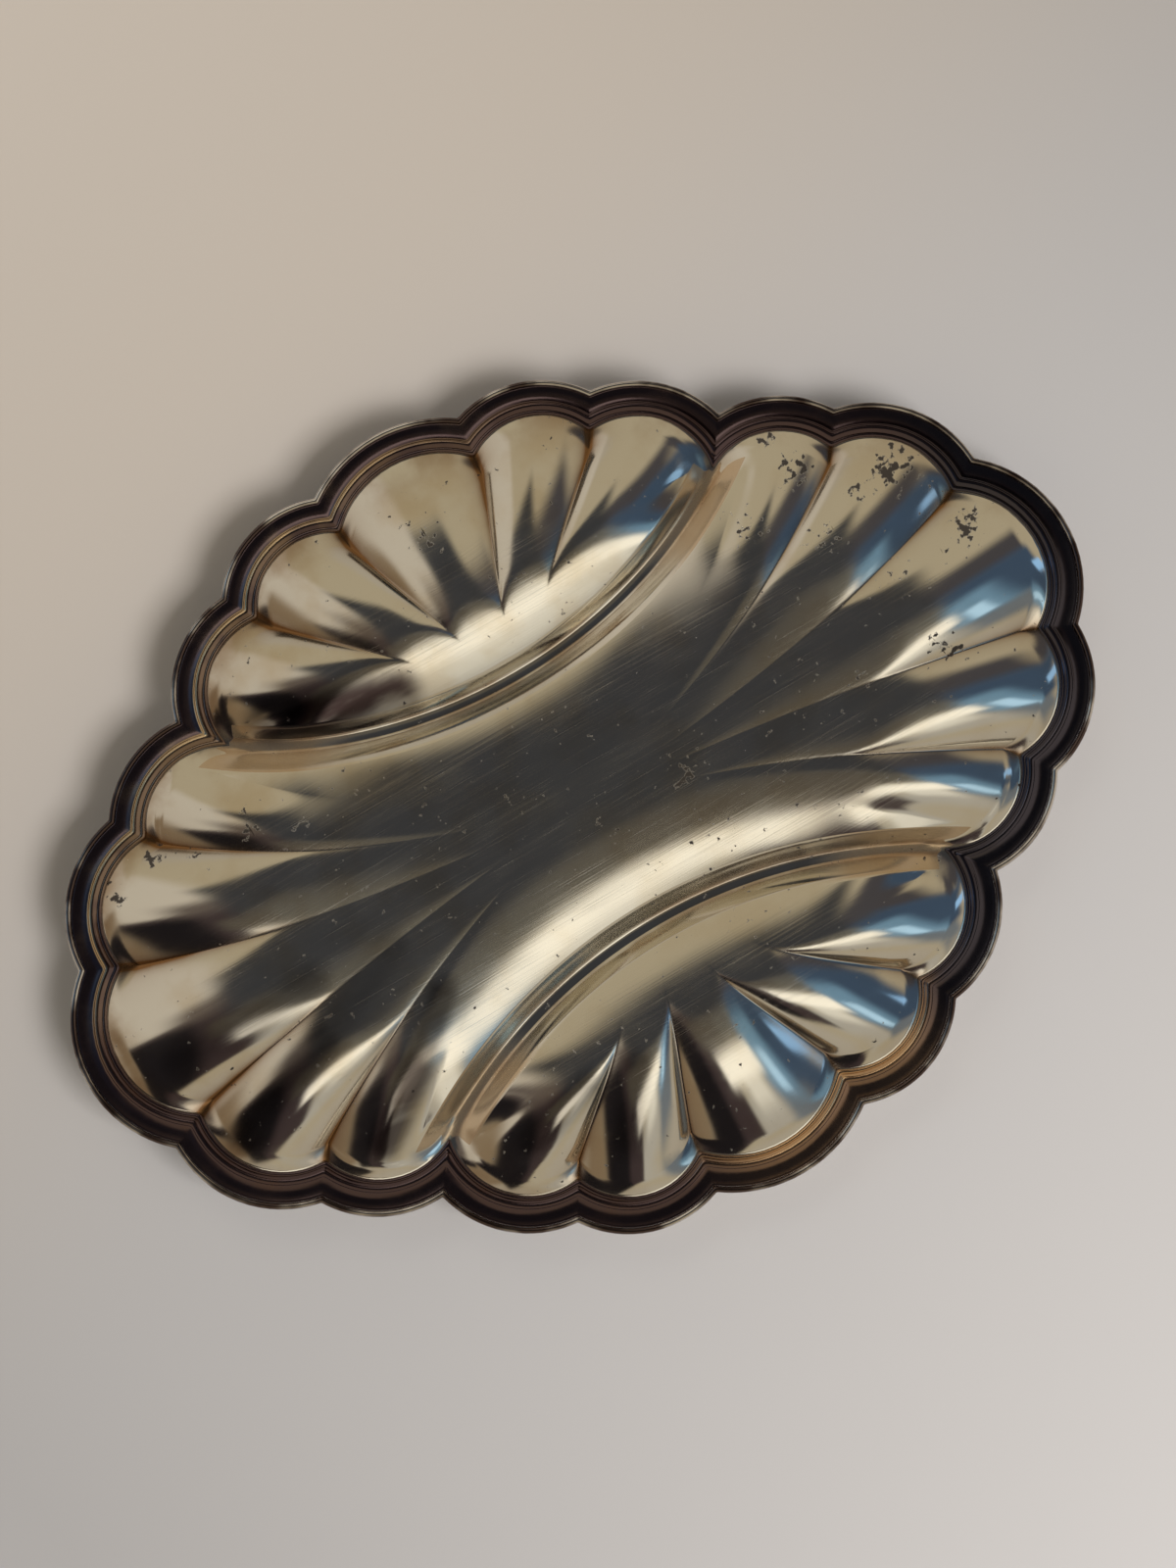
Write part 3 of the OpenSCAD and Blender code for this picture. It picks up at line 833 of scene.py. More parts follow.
@dataclass
class Pan:
    """The pressed pan: three fluted compartments, two dividers and the flange under the border."""

    outline: Outline

    # Rim, wall and flutes.
    sheet: float = 1.2 * MM
    flange_z: float = 19 * MM
    flange_w: float = 8.5 * MM
    rim_w: float = 12 * MM
    wall_w: float = 4.5 * MM
    wall_top_slope: float = 1.25
    hollow_rise: float = 14.6 * MM
    hollow_reach: float = 50 * MM
    ridge_rise: float = 16.6 * MM
    end_tip_ridge_reach: float = 120 * MM
    end_shoulder_ridge_reach: float = 100 * MM
    side_shoulder_ridge_reach: float = 60 * MM
    side_tip_ridge_reach: float = 66 * MM
    hollow_curve: float = 1.8
    ridge_curve: float = 1.3
    flute_curve: float = 1.6

    # Dividers, and how the floor rises to them; places and edges on the crest are factors of its half width.
    divider_y: float = 47 * MM
    divider_rise: float = 12.5 * MM
    crest_half: float = 2 * MM
    inner_flank: float = 7.5 * MM
    outer_flank: float = 7 * MM
    flank_drop: float = 7 * MM
    flank_top_slope: float = 1.75
    flank_foot_slope: float = 0.8
    floor_curve: float = 31 * MM
    bank_climb: float = 0.25
    middle_meeting: float = 2.5
    side_meeting: float = 1.8
    climb_share: float = 0.45
    crest_rows: tuple[float, ...] = (0, 0.14, 0.43, 0.57, 1)
    crest_places: tuple[float, ...] = (0, 0.55, 1, 1.3)
    crest_slope_places: tuple[float, ...] = (0, 0.5, 0.65, 1)
    crest_slopes: tuple[float, ...] = (0, 0.05, 0.2, 0.42)
    crest_edge: tuple[float, float] = (0.95, 1.3)
    flute_fade: tuple[float, float] = (18 * MM, 50 * MM)

    # Rounding; the folds' reach and fade are factors of their rounding.
    ridge_rounding: float = 0.035
    notch_rounding: float = 0.8 * MM
    fold_rounding: float = 2.2 * MM
    fold_reach: float = 4.5
    fold_fade: tuple[float, float] = (1.2, 3)
    sharp_degrees: float = 50

    # Rows and columns, and how they bend and crowd.
    wall_steps: int = 14
    floor_steps: int = 40
    fall_steps: int = 400
    flange_steps: int = 4
    slope_step: float = 0.5 * MM
    crowding: float = 1.6
    middle_bend: float = 0.6
    middle_bend_start: float = 0.2
    middle_bend_growth: float = 0.3
    middle_crowding: float = 1.4
    fan_pull: float = 0.75
    fan_start: float = 0.1
    fan_growth: float = 2.5
    fan_foot: float = 3 * MM

    # Wear.
    crest_line_w: float = 0.9 * MM
    gilt_fade: tuple[float, float] = (0.26, 0.46)
    middle_crease_reach: float = 70 * MM
    side_crease_reach: float = 46 * MM
    crease_w: float = 1.6 * MM
    crease_stain_w: float = 6 * MM
    crease_stain: float = 0.55
    wall_foot_stain: float = 0.4
    wall_stain_w: float = 4 * MM
    age_lean: tuple[float, float] = (-0.6 / (180 * MM), 0.8 / (140 * MM))
    age_spread: float = 1.2
    least_age: float = 0.06
    finish: SilverPlate = field(default_factory=SilverPlate)
    stains: tuple[Stain, ...] = (
        Stain(119 * MM, 61 * MM, 6 * MM, 1.0),
        Stain(95 * MM, 53 * MM, 6 * MM, 0.8),
        Stain(146 * MM, 45 * MM, 7 * MM, 1.0),
        Stain(116 * MM, 36 * MM, 6 * MM, 0.8),
        Stain(131 * MM, 45 * MM, 4 * MM, 0.7),
        Stain(158 * MM, 14 * MM, 6 * MM, 1.0),
        Stain(145 * MM, 10 * MM, 5 * MM, 0.6),
        Stain(132 * MM, 14 * MM, 5 * MM, 0.6),
        Stain(132 * MM, -16 * MM, 6 * MM, 0.9),
        Stain(104 * MM, -10 * MM, 4 * MM, 0.6),
        Stain(-131 * MM, 54 * MM, 5 * MM, 0.9),
        Stain(-120 * MM, 49 * MM, 4 * MM, 0.8),
        Stain(-148 * MM, 47 * MM, 4 * MM, 0.7),
        Stain(-2 * MM, 104 * MM, 6 * MM, 0.7),
        Stain(-85 * MM, 41 * MM, 3 * MM, 0.9),
        Stain(-101 * MM, 47 * MM, 3 * MM, 0.9),
        Stain(-39 * MM, 46 * MM, 3 * MM, 0.6),
        Stain(35 * MM, -9 * MM, 7 * MM, 0.5),
        Stain(114 * MM, 74 * MM, 4 * MM, 0.8),
    )
    # Painted dark reflections: long dark patches on some flutes.
    smudges: tuple[DarkReflection, ...] = (
        DarkReflection((-76 * MM, 75 * MM), (-36 * MM, 64 * MM), 9 * MM, 1.0),
        DarkReflection((-150 * MM, -40 * MM), (-114 * MM, -25 * MM), 6 * MM, 0.7),
        DarkReflection((-114 * MM, -25 * MM), (-80 * MM, -9 * MM), 6 * MM, 0.35),
        DarkReflection((-112 * MM, -65 * MM), (-92 * MM, -49 * MM), 6 * MM, 0.9),
        DarkReflection((-92 * MM, -49 * MM), (-72 * MM, -31 * MM), 5 * MM, 0.7),
        DarkReflection((-157 * MM, -9 * MM), (-108 * MM, -6 * MM), 6 * MM, 0.5),
        DarkReflection((-70 * MM, -88 * MM), (-46 * MM, -82 * MM), 5 * MM, 0.6),
        DarkReflection((-44 * MM, -104 * MM), (-29 * MM, -84 * MM), 5 * MM, 0.5),
    )

    def __post_init__(self) -> None:
        """Works out the wall's rows and the divider's arc, from a notch of the wall's top to the middle."""
        self.rim_rise = self.flange_z - self.sheet
        self.divider_end = self.outline.notch_at(Lobe.SIDE_CORNER.value, np.array(self.rim_w))
        rise = self.divider_end[1] - self.divider_y
        centre = (self.divider_end @ self.divider_end - self.divider_y**2) / (2 * rise)
        self.divider_c = np.array([0, centre])
        self.divider_r = centre - self.divider_y
        self.divider_start = heading(self.divider_end - self.divider_c)
        self.wall_rows = np.linspace(0, 1, self.wall_steps + 1)
        self.wall_depths = self.rim_w + self.wall_w * self.wall_rows

    def flute_rise(self, halves: Array, phases: Array, distance: Array) -> Array:
        """Height of the fluted wall above the floor.

        Args:
            halves: Half lobe of each column.
            phases: Phase of each column.
            distance: Distance in from the wall's foot, rows by columns.

        Returns:
            Heights, rows by columns.
        """
        tip, shoulder = self.end_tip_ridge_reach, self.end_shoulder_ridge_reach
        side_tip, side_shoulder = self.side_tip_ridge_reach, self.side_shoulder_ridge_reach
        reach = np.array([tip] * 2 + [shoulder] * 4 + [side_shoulder] * 2 + [side_tip] * 2)[halves]
        above = np.where(np.isin(halves, CORNER_HALVES), 0, self.ridge_rise - self.hollow_rise)
        ridge = above * np.maximum(0, 1 - distance / reach) ** self.ridge_curve
        return self.hollow(distance) + ridge * self.ridge_share(phases)

    def hollow(self, distance: Array) -> Array:
        """Height of a flute's hollow above the floor, at distances from the wall's foot."""
        return self.hollow_rise * np.maximum(0, 1 - distance / self.hollow_reach) ** self.hollow_curve

    def ridge_share(self, phases: Array) -> Array:
        """How far up a flute's side each column lies.

        Args:
            phases: Phase of each column.

        Returns:
            Shares: 0 in the hollow, and nearly 1 on the rounded ridge.
        """
        p, w, n = np.abs(phases), self.ridge_rounding, self.flute_curve
        top = np.clip((p - 1 + w) / w, 0, 1)
        rounded = (1 - w) ** n + n * (1 - w) ** (n - 1) * w * (top - top * top / 2)
        return np.where(p > 1 - w, rounded, p**n)

    def crest_rise(self, place: Array) -> Array:
        """Height of the divider's crest above the floor.

        Args:
            place: Plan points beside it.

        Returns:
            Heights, one for each point.
        """
        turn = (heading(place - self.divider_c) - self.divider_start) / (-math.pi / 2 - self.divider_start)
        climb = np.maximum(0, 1 - np.clip(turn, 0, 1) / self.climb_share) ** 2
        return mix(self.divider_rise, self.rim_rise, climb)

    def from_divider(self, place: Array, side: int) -> Array:
        """Distances of plan points from the divider's line, towards one side of it."""
        return side * (np.linalg.norm(place - self.divider_c, axis=-1) - self.divider_r)

    def bank_rise(self, place: Array, flank: float, side: int) -> Array:
        """Height of the curved floor beside a divider.

        Args:
            place: Plan points.
            flank: Width of the divider's slope.
            side: 1 in the middle compartment, -1 in a side compartment.

        Returns:
            Heights.
        """
        away = np.maximum(0, self.from_divider(place, side) - flank)
        foot = mix(self.divider_rise, self.crest_rise(place), self.bank_climb) - self.flank_drop
        rise = foot * np.maximum(0, 1 - away / self.floor_curve) ** 2
        return np.where(place[..., 1] < self.divider_c[1], rise, 0)

    def floor_rise(self, flute: Array, bank: Array, side: int) -> Array:
        """Height of the floor where a flute and a bank meet softly."""
        power = self.middle_meeting if side > 0 else self.side_meeting
        return (flute**power + bank**power) ** (1 / power)

    @staticmethod
    def from_wall(plan: Array, foot: Array) -> Array:
        """Distances of plan points from the wall's foot."""
        return np.min(np.linalg.norm(plan[..., None, :] - foot, axis=-1), axis=-1)

    def flank_offset(self, flank: float) -> Array:
        """Distance from the crest for each wall row."""
        places = [share * self.crest_half for share in self.crest_places]
        return np.interp(self.wall_rows, self.crest_rows, [*places, flank])

    def flank_fall(self, flank: float) -> Array:
        """How far the slope has fallen at each wall row: a flat crest, then a slope that eases to its foot.

        Args:
            flank: Width of the slope.

        Returns:
            Shares of its depth, from 0 to 1.
        """
        edge = self.crest_half
        out = np.linspace(0, flank, self.fall_steps)
        down = np.clip((out - edge) / (flank - edge), 0, 1)
        slope = mix(self.flank_top_slope, self.flank_foot_slope, down)
        crest = np.interp(out / edge, self.crest_slope_places, self.crest_slopes)
        slope = mix(crest, slope, step(out, self.crest_edge[0] * edge, self.crest_edge[1] * edge))
        fall = np.concatenate([[0], np.cumsum((slope[1:] + slope[:-1]) / 2)])
        return np.interp(self.flank_offset(flank), out, fall / fall[-1])

    def corner(self, lobe: Lobe, flank: float, side: int) -> Array:
        """Where each wall row of a lobe meets the same row of the divider's slope.

        Args:
            lobe: The lobe beside the divider's end.
            flank: Width of the slope.
            side: 1 in the middle compartment, -1 in a side compartment.

        Returns:
            Plan points, one for each row.
        """
        centre, radius = self.outline.circle(lobe.value)
        radii = self.divider_r + side * self.flank_offset(flank)
        return crossing(centre, radius - self.wall_depths, self.divider_c, radii, self.divider_end)

    def wall(self, halves: Array, phases: Array, flank: float, side: int) -> Array:
        """Rows of the rim's wall, from its top to its foot.

        Args:
            halves: Half lobe of each column.
            phases: Phase of each column.
            flank: Width of the divider's slope in this compartment.
            side: 1 in the middle compartment, -1 in a side compartment.

        Returns:
            Points, rows by columns.
        """
        depth = self.wall_depths
        rings = np.array([self.outline.ring(d, self.notch_rounding) for d in depth])
        plan = self.pick(rings, halves, phases)
        for lobe, outer_half, corner_half in ((Lobe.END_CORNER, 3, 4), (Lobe.SIDE_CORNER, 6, 5)):
            number = lobe.value
            turn = self.corner(lobe, flank, side)
            notches = self.outline.notch_at(number, depth), self.outline.notch_at(number + 1, depth)
            ends = (notches[0], turn) if lobe is Lobe.END_CORNER else (turn, notches[1])
            near, far = halves == corner_half, halves == outer_half
            plan[:, near] = self.outline.arc(number, depth, *ends, (phases[near] + 1) / 2)
            shares = (phases[far] + 1) / 2
            straight = self.outline.arc(number, depth, *ends, shares)
            full = self.outline.arc(number, depth, *notches, shares)
            plan[:, far] = straight + plan[:, far] - full
        flute = self.flute_rise(halves, phases, np.zeros(len(halves)))
        inside = self.flute_rise(halves, phases, np.full(len(halves), self.slope_step))
        slope = (flute - inside) / self.slope_step
        fall = self.rim_rise - self.floor_rise(flute, self.bank_rise(plan[-1], flank, side), side)
        drop = fall * curve(self.wall_rows[:, None], self.wall_top_slope, slope * self.wall_w / fall)
        beside = np.where(np.isin(halves, CORNER_HALVES), np.abs(phases) ** 3, 0)
        rise = self.rim_rise - mix(drop, fall * self.flank_fall(flank)[:, None], beside)
        return np.concatenate([plan, (self.sheet + rise)[..., None]], -1)

    def pick(self, rings: Array, halves: Array, phases: Array) -> Array:
        """Takes some columns of full rings.

        Args:
            rings: Rings with all the columns of a quarter.
            halves: Half lobe of each wanted column.
            phases: Phase of each wanted column.

        Returns:
            The rings with these columns alone.
        """
        all_halves, all_phases = self.outline.columns(ALL_HALVES)
        place = np.round(all_halves * 4 + all_phases, 9)
        wanted = np.searchsorted(place, np.round(halves * 4 + phases, 9))
        return rings[:, np.clip(wanted, 0, len(place) - 1)]

    def flank_plan(self, shares: Array, flank: float, side: int) -> Array:
        """Plan of the divider's slope, in rows from its crest to its foot.

        Args:
            shares: Place of each column along the divider, 0 at the rim and 1 in the middle.
            flank: Width of the slope.
            side: 1 towards the middle compartment, -1 towards a side compartment.

        Returns:
            Plan points, rows by columns.
        """
        lobe = Lobe.END_CORNER if side > 0 else Lobe.SIDE_CORNER
        first = heading(self.corner(lobe, flank, side) - self.divider_c)
        angle = mix(first[:, None], -math.pi / 2, shares[None, :])
        radius = self.divider_r + side * self.flank_offset(flank)
        return self.divider_c + radius[:, None, None] * toward(angle)

    def flank(self, plan: Array, foot: Array, flank: float) -> Array:
        """Rows of the divider's slope, from its crest down to the floor.

        Args:
            plan: Its plan, rows by columns.
            foot: Height of the floor at the foot of each column.
            flank: Width of the slope.

        Returns:
            Points, rows by columns.
        """
        crest = self.crest_rise(plan)
        rise = crest - (crest[-1] - foot) * self.flank_fall(flank)[:, None]
        return np.concatenate([plan, (self.sheet + rise)[..., None]], -1)

    def divider_columns(self) -> tuple[Array, Array, Array, Array]:
        """Columns that run from the divider to the side compartment's wall.

        Returns:
            Half lobe, phase, place from 0 at the rim to 1 in the middle, and share of the divider's length.
        """
        halves, phases = self.outline.columns(SIDE_HALVES)
        along = (halves - SIDE_HALVES.start + self.outline.part(halves, phases)) / len(SIDE_HALVES)
        return halves, phases, along, 1 - (1 - along) ** self.crowding

    def middle(self) -> Patch:
        """Makes a quarter of the middle compartment.

        Returns:
            The patch, from the compartment's boundary to the platter's centre.
        """
        halves, phases = self.outline.columns(MIDDLE_HALVES)
        _, _, along, shares = self.divider_columns()
        wall = self.wall(halves, phases, self.inner_flank, 1)
        slope = self.flank_plan(shares, self.inner_flank, 1)[:, 1:]
        wall_foot = wall[-1, :, :2]
        foot = np.concatenate([wall_foot, slope[-1]])
        by_wall = (halves + self.outline.part(halves, phases)) / len(ALL_HALVES)
        place = np.concatenate([by_wall, 0.5 + along[1:] / 2])
        pull = self.middle_bend_start + self.middle_bend_growth * np.sqrt(place)
        bend = foot * np.stack([np.full(len(place), self.middle_bend), pull], -1)
        t = (np.linspace(0, 1, self.floor_steps + 1) ** self.middle_crowding)[:, None, None]
        plan = foot * (1 - t) ** 2 + bend * 2 * t * (1 - t)
        distance = np.linalg.norm(plan - foot, axis=-1)
        walled = len(halves)
        nearest = self.from_wall(plan, wall_foot)
        inward = self.turned_in(halves, phases, distance[:, :walled], nearest[:, :walled])
        fluted = self.flute_rise(halves, phases, inward)
        flute = np.concatenate([fluted, self.hollow(nearest[:, walled:])], 1)
        rise = self.floor_rise(flute, self.bank_rise(plan, self.inner_flank, 1), 1)
        flank = self.flank(slope, rise[0, walled:], self.inner_flank)
        floor = np.concatenate([plan, (self.sheet + rise)[..., None]], -1)[1:]
        points = np.concatenate([np.concatenate([wall, flank], 1), floor])
        masks = self.masks(points, walled, halves, phases, distance[1:])
        masks[Mask.CREST][: len(wall), walled:] = self.crest_mask(self.inner_flank)
        masks[Mask.GILT][: len(wall), walled:] = self.gilt_mask(shares[1:])
        return Patch(points, masks)

    def side(self) -> Patch:
        """Makes a quarter of a side compartment.

        Returns:
            The patch, from the wall's top to the divider's crest.
        """
        halves, phases, along, shares = self.divider_columns()
        slope = self.flank_plan(shares, self.outer_flank, -1)
        wall = self.wall(halves, phases, self.outer_flank, -1)
        start, end = slope[-1], wall[-1, :, :2]
        pull = self.fan_pull * np.minimum(1, self.fan_start + self.fan_growth * along)
        bend = mix(end, np.array([0, self.divider_y + self.fan_foot]), pull[:, None])
        t = np.linspace(1, 0, self.floor_steps + 1)[1:][:, None, None]
        plan = start * (1 - t) ** 3 + bend * 3 * t * (1 - t) + end * t**3
        distance = np.linalg.norm(plan - end, axis=-1)
        inward = self.turned_in(halves, phases, distance, self.from_wall(plan, end))
        fluted = step(self.from_divider(plan, -1), *self.flute_fade)
        flute = mix(self.hollow(inward), self.flute_rise(halves, phases, inward), fluted)
        rise = self.floor_rise(flute, self.bank_rise(plan, self.outer_flank, -1), -1)
        flank = self.flank(slope, rise[-1], self.outer_flank)
        flank[:, 0] = wall[:, 0]
        floor = np.concatenate([plan, (self.sheet + rise)[..., None]], -1)[:-1]
        points = np.concatenate([wall, floor, flank[::-1]])
        inner = np.concatenate([distance[:-1], distance[-2:-1]])
        masks = self.masks(points, len(halves), halves, phases, inner)
        masks[Mask.CREST][-len(flank) :] = self.crest_mask(self.outer_flank)[::-1]
        masks[Mask.GILT][-len(flank) :] = self.gilt_mask(shares)
        return Patch(points, masks)

    def flange(self, run: range) -> Patch:
        """A quarter of part of the flange.

        Args:
            run: Its half lobes.

        Returns:
            The patch, from its outer edge to the wall's top.
        """
        halves, phases = self.outline.columns(run)
        depth = self.rim_w - self.flange_w * np.linspace(1, 0, self.flange_steps + 1)
        rings = np.array([self.outline.ring(d, self.notch_rounding) for d in depth[:-1]])
        plan = self.pick(rings, halves, phases)
        flat = np.concatenate([plan, np.full((*plan.shape[:2], 1), self.flange_z)], -1)
        flank, side = (self.inner_flank, 1) if run == MIDDLE_HALVES else (self.outer_flank, -1)
        top = self.wall(halves, phases, flank, side)
        points = np.concatenate([flat, top[:1]])
        return Patch(points, {mask: np.zeros(points.shape[:2]) for mask in PAN_MASKS})

    @staticmethod
    def turned_in(halves: Array, phases: Array, distance: Array, nearest: Array) -> Array:
        """Distance in from the wall: along a column, but straight from the wall beside a divider.

        Args:
            halves: Half lobe of each column.
            phases: Phase of each column.
            distance: Distance of each point from its column's start, rows by columns.
            nearest: Its distance from the nearest part of the wall's foot.

        Returns:
            Distances, rows by columns.
        """
        return mix(distance, nearest, np.where(np.isin(halves, CORNER_HALVES), phases**2, 0))

    def crest_mask(self, flank: float) -> Array:
        """Tarnish that stays in the fine lines beside a divider's crest, for each wall row."""
        offset = self.flank_offset(flank)
        return np.exp(-(((offset - self.crest_half) / self.crest_line_w) ** 2))[:, None]

    def gilt_mask(self, shares: Array) -> Array:
        """Golden tarnish towards the ends of a divider, for each column along it."""
        return 1 - step(shares, *self.gilt_fade)

    def masks(
        self, points: Array, walled: int, halves: Array, phases: Array, distance: Array
    ) -> dict[Mask, Array]:
        """Values for the wear of a compartment.

        Args:
            points: Its points, rows by columns.
            walled: How many of its columns start at the rim's wall.
            halves: Half lobe of each such column.
            phases: Phase of each such column.
            distance: Distance of its floor from the wall's foot.

        Returns:
            Values from 0 to 1 for each mask.
        """
        corner = np.isin(halves, CORNER_HALVES) & (phases == np.where(halves % 2 == 0, 1, -1))
        ridges = np.flatnonzero((np.abs(phases) == 1) & ~corner)
        nearest = np.zeros(walled, int)
        for n in range(walled):
            later, earlier = ridges[ridges >= n], ridges[ridges <= n]
            ahead = len(later) and (halves[n] % 2 == 0 or not len(earlier))
            nearest[n] = later[0] if ahead else earlier[-1]
        gap = np.linalg.norm(points[:, :walled] - points[:, nearest], axis=-1)
        wall_rows = self.wall_steps + 1
        inward = np.full(points.shape[:2], FAR)
        inward[:wall_rows] = 0
        inward[wall_rows : wall_rows + len(distance)] = distance
        out = {mask: np.zeros(points.shape[:2]) for mask in PAN_MASKS}
        reach = np.where(halves >= SIDE_HALVES.start, self.side_crease_reach, self.middle_crease_reach)
        fade = np.maximum(0, 1 - inward[:, :walled] / reach)
        line = np.exp(-gap / self.crease_w) * fade
        stain = self.crease_stain * np.exp(-gap / self.crease_stain_w) * fade**6
        out[Mask.CREASE][:, :walled] = line + stain
        out[Mask.WALL][:wall_rows, :walled] = mix(1, self.wall_foot_stain, self.wall_rows[:, None])
        foot = self.wall_foot_stain * np.exp(-inward / self.wall_stain_w)
        out[Mask.WALL][wall_rows:, :walled] = foot[wall_rows:, :walled]
        return out

    def age(self, points: Array) -> Array:
        """How brown each place has gone: most at the end and side that were rubbed least."""
        lean = points[:, :2] @ np.array(self.age_lean) / self.age_spread
        return np.clip(0.5 + 0.5 * lean, self.least_age, 1)

    def stained(self, points: Array) -> Array:
        """How thick the dark spots lie.

        Args:
            points: The pan's points.

        Returns:
            Values from 0 to 1, one for each point.
        """
        out = np.zeros(len(points))
        for s in self.stains:
            away = np.hypot(points[:, 0] - s.x, points[:, 1] - s.y)
            out = np.maximum(out, s.amount * np.exp(-((away / s.spread) ** 2)))
        return out

    def smudged(self, points: Array) -> Array:
        """How dark the painted dark reflections are.

        Args:
            points: The pan's points.

        Returns:
            Values from 0 to 1, one for each point.
        """
        out = np.zeros(len(points))
        for s in self.smudges:
            start, run = np.array(s.start), np.subtract(s.end, s.start)
            along = np.clip((points[:, :2] - start) @ run / (run @ run), 0, 1)
            away = np.linalg.norm(points[:, :2] - start - along[:, None] * run, axis=-1)
            out = np.maximum(out, s.amount * np.exp(-((away / s.width) ** 4)))
        return out

    def ease_folds(self, skin: Skin) -> None:
        """Rounds the folds where the rim's wall runs into the dividers.

        Args:
            skin: The pan's upper surface; its heights near the folds are evened out.
        """
        folds = np.concatenate([
            self.corner(Lobe.END_CORNER, self.inner_flank, 1),
            self.corner(Lobe.SIDE_CORNER, self.outer_flank, -1),
        ])
        area = skin.areas()
        for signs in QUARTERS:
            fold = folds * signs
            away = np.min(np.linalg.norm(skin.points[:, None, :2] - fold[None], axis=-1), axis=1)
            near = np.flatnonzero(away < self.fold_reach * self.fold_rounding)
            plan, height = skin.points[near, :2], skin.points[near, 2]
            gap = plan[None] - plan[:, None]
            share = area[near] * np.exp(-np.sum(gap * gap, -1) / (2 * self.fold_rounding**2))
            share /= share.sum(1, keepdims=True)
            mean, level = np.einsum("ij,ijk->ik", share, gap), share @ height
            off = gap - mean[:, None]
            spread = np.einsum("ij,ijk,ijl->ikl", share, off, off)
            lean = np.einsum("ij,ijk,j->ik", share, off, height)
            slope = np.linalg.solve(spread, lean[..., None])[..., 0]
            eased = level - np.sum(slope * mean, -1)
            first, last = (factor * self.fold_rounding for factor in self.fold_fade)
            pull = 1 - step(away[near], first, last)
            skin.points[near, 2] = mix(height, eased, pull)

    def build(self) -> bpy.types.Object:
        """Makes the pan and gives it its finish.

        Returns:
            The piece.
        """
        quarter = [self.middle(), self.side(), self.flange(MIDDLE_HALVES), self.flange(SIDE_HALVES)]
        skin = Skin.of([patch.turned().mirrored(x, y) for patch in quarter for x, y in QUARTERS])
        self.ease_folds(skin)
        skin.masks[Mask.AGE] = self.age(skin.points)
        skin.masks[Mask.STAIN] = self.stained(skin.points)
        # Painted dark reflections on some flutes.
        skin.masks[Mask.SMUDGE] = self.smudged(skin.points)
        piece = skin.thickened(self.sheet).piece("pan_skin", math.radians(self.sharp_degrees))
        piece.data.materials.append(self.finish.material())
        return placed(piece, "pan")


def swept(outline: Outline, profile: Sequence[tuple[float, float]], base: float, rounding: float) -> Skin:
    """Carries a closed profile round the outline.

    Args:
        outline: The outline.
        profile: Depths from the outline and heights above the base, going round the profile.
        base: Height of the base.
        rounding: How far the notches' rounding spreads on the profile's inner side.

    Returns:
        The closed surface.
    """
    deepest = max(depth for depth, _ in profile)
    rows, across = [], []
    for depth, height in [*profile, profile[0]]:
        plan = outline.ring(depth, mix(LEAST_ROUNDING, rounding, depth / deepest))
        rows.append(np.concatenate([plan, np.full((len(plan), 1), base + height)], -1))
        across.append(np.full(len(plan), depth / deepest))
    quarter = Patch(np.array(rows), {Mask.ACROSS: np.array(across)})
    return Skin.of([quarter.mirrored(x, y) for x, y in QUARTERS])


@dataclass
class Border:
    """The border on the flange: two reeds beside the wall and a shallow hollow outside them.

    A reed's sweep is in degrees, from the side towards the wall.
    """

    outline: Outline
    base: float = 19 * MM
    outer: float = 2.02 * MM
    inner: float = 11.8 * MM
    strip: float = 1.2 * MM
    reed_r: float = 1.4 * MM
    small_reed_r: float = 0.85 * MM
    reed_sweep: tuple[float, float] = (38, 148)
    reed_steps: int = 12
    small_reed_sweep: tuple[float, float] = (0, 140)
    small_reed_steps: int = 9
    channel_depth: float = 0.35 * MM
    channel_curve: float = 0.8
    channel_steps: int = 11
    lip_w: float = 0.35 * MM
    lip_drop: float = 0.15 * MM
    notch_rounding: float = 0.8 * MM
    sharp_degrees: float = 60
    finish: BrownedPlate = field(default_factory=BrownedPlate)

    def profile(self) -> list[tuple[float, float]]:
        """Outline of the border's section.

        Returns:
            Depths from the platter's outline and heights above the flange.
        """
        small_at = self.inner - self.small_reed_r
        reed_at = small_at - self.small_reed_r - self.reed_r
        small = self._reed(small_at, self.small_reed_r, self.small_reed_sweep, self.small_reed_steps)
        large = self._reed(reed_at, self.reed_r, self.reed_sweep, self.reed_steps)
        start, end = large[-1], (self.outer + self.lip_w, self.strip)
        hollow = []
        for t in np.linspace(0, 1, self.channel_steps + 1)[1:-1]:
            sunk = self.channel_depth * (4 * t * (1 - t)) ** self.channel_curve
            hollow.append((mix(start[0], end[0], t), mix(start[1], end[1], min(1.0, 3 * t)) - sunk))
        lip = [end, (self.outer, self.strip - self.lip_drop), (self.outer, 0.0)]
        return [(self.inner, 0.0), *small, *large, *hollow, *lip]

    def _reed(
        self, at: float, radius: float, sweep: tuple[float, float], count: int
    ) -> list[tuple[float, float]]:
        """Points over a reed."""
        angles = np.radians(np.linspace(*sweep, count))
        return [(at + radius * math.cos(a), self.strip / 2 + radius * math.sin(a)) for a in angles]

    def build(self) -> bpy.types.Object:
        """Makes the border and gives it its finish.

        Returns:
            The piece.
        """
        skin = swept(self.outline, self.profile(), self.base, self.notch_rounding)
        piece = skin.piece("rim_border_skin", math.radians(self.sharp_degrees))
        piece.data.materials.append(self.finish.material())
        return placed(piece, "rim_border")


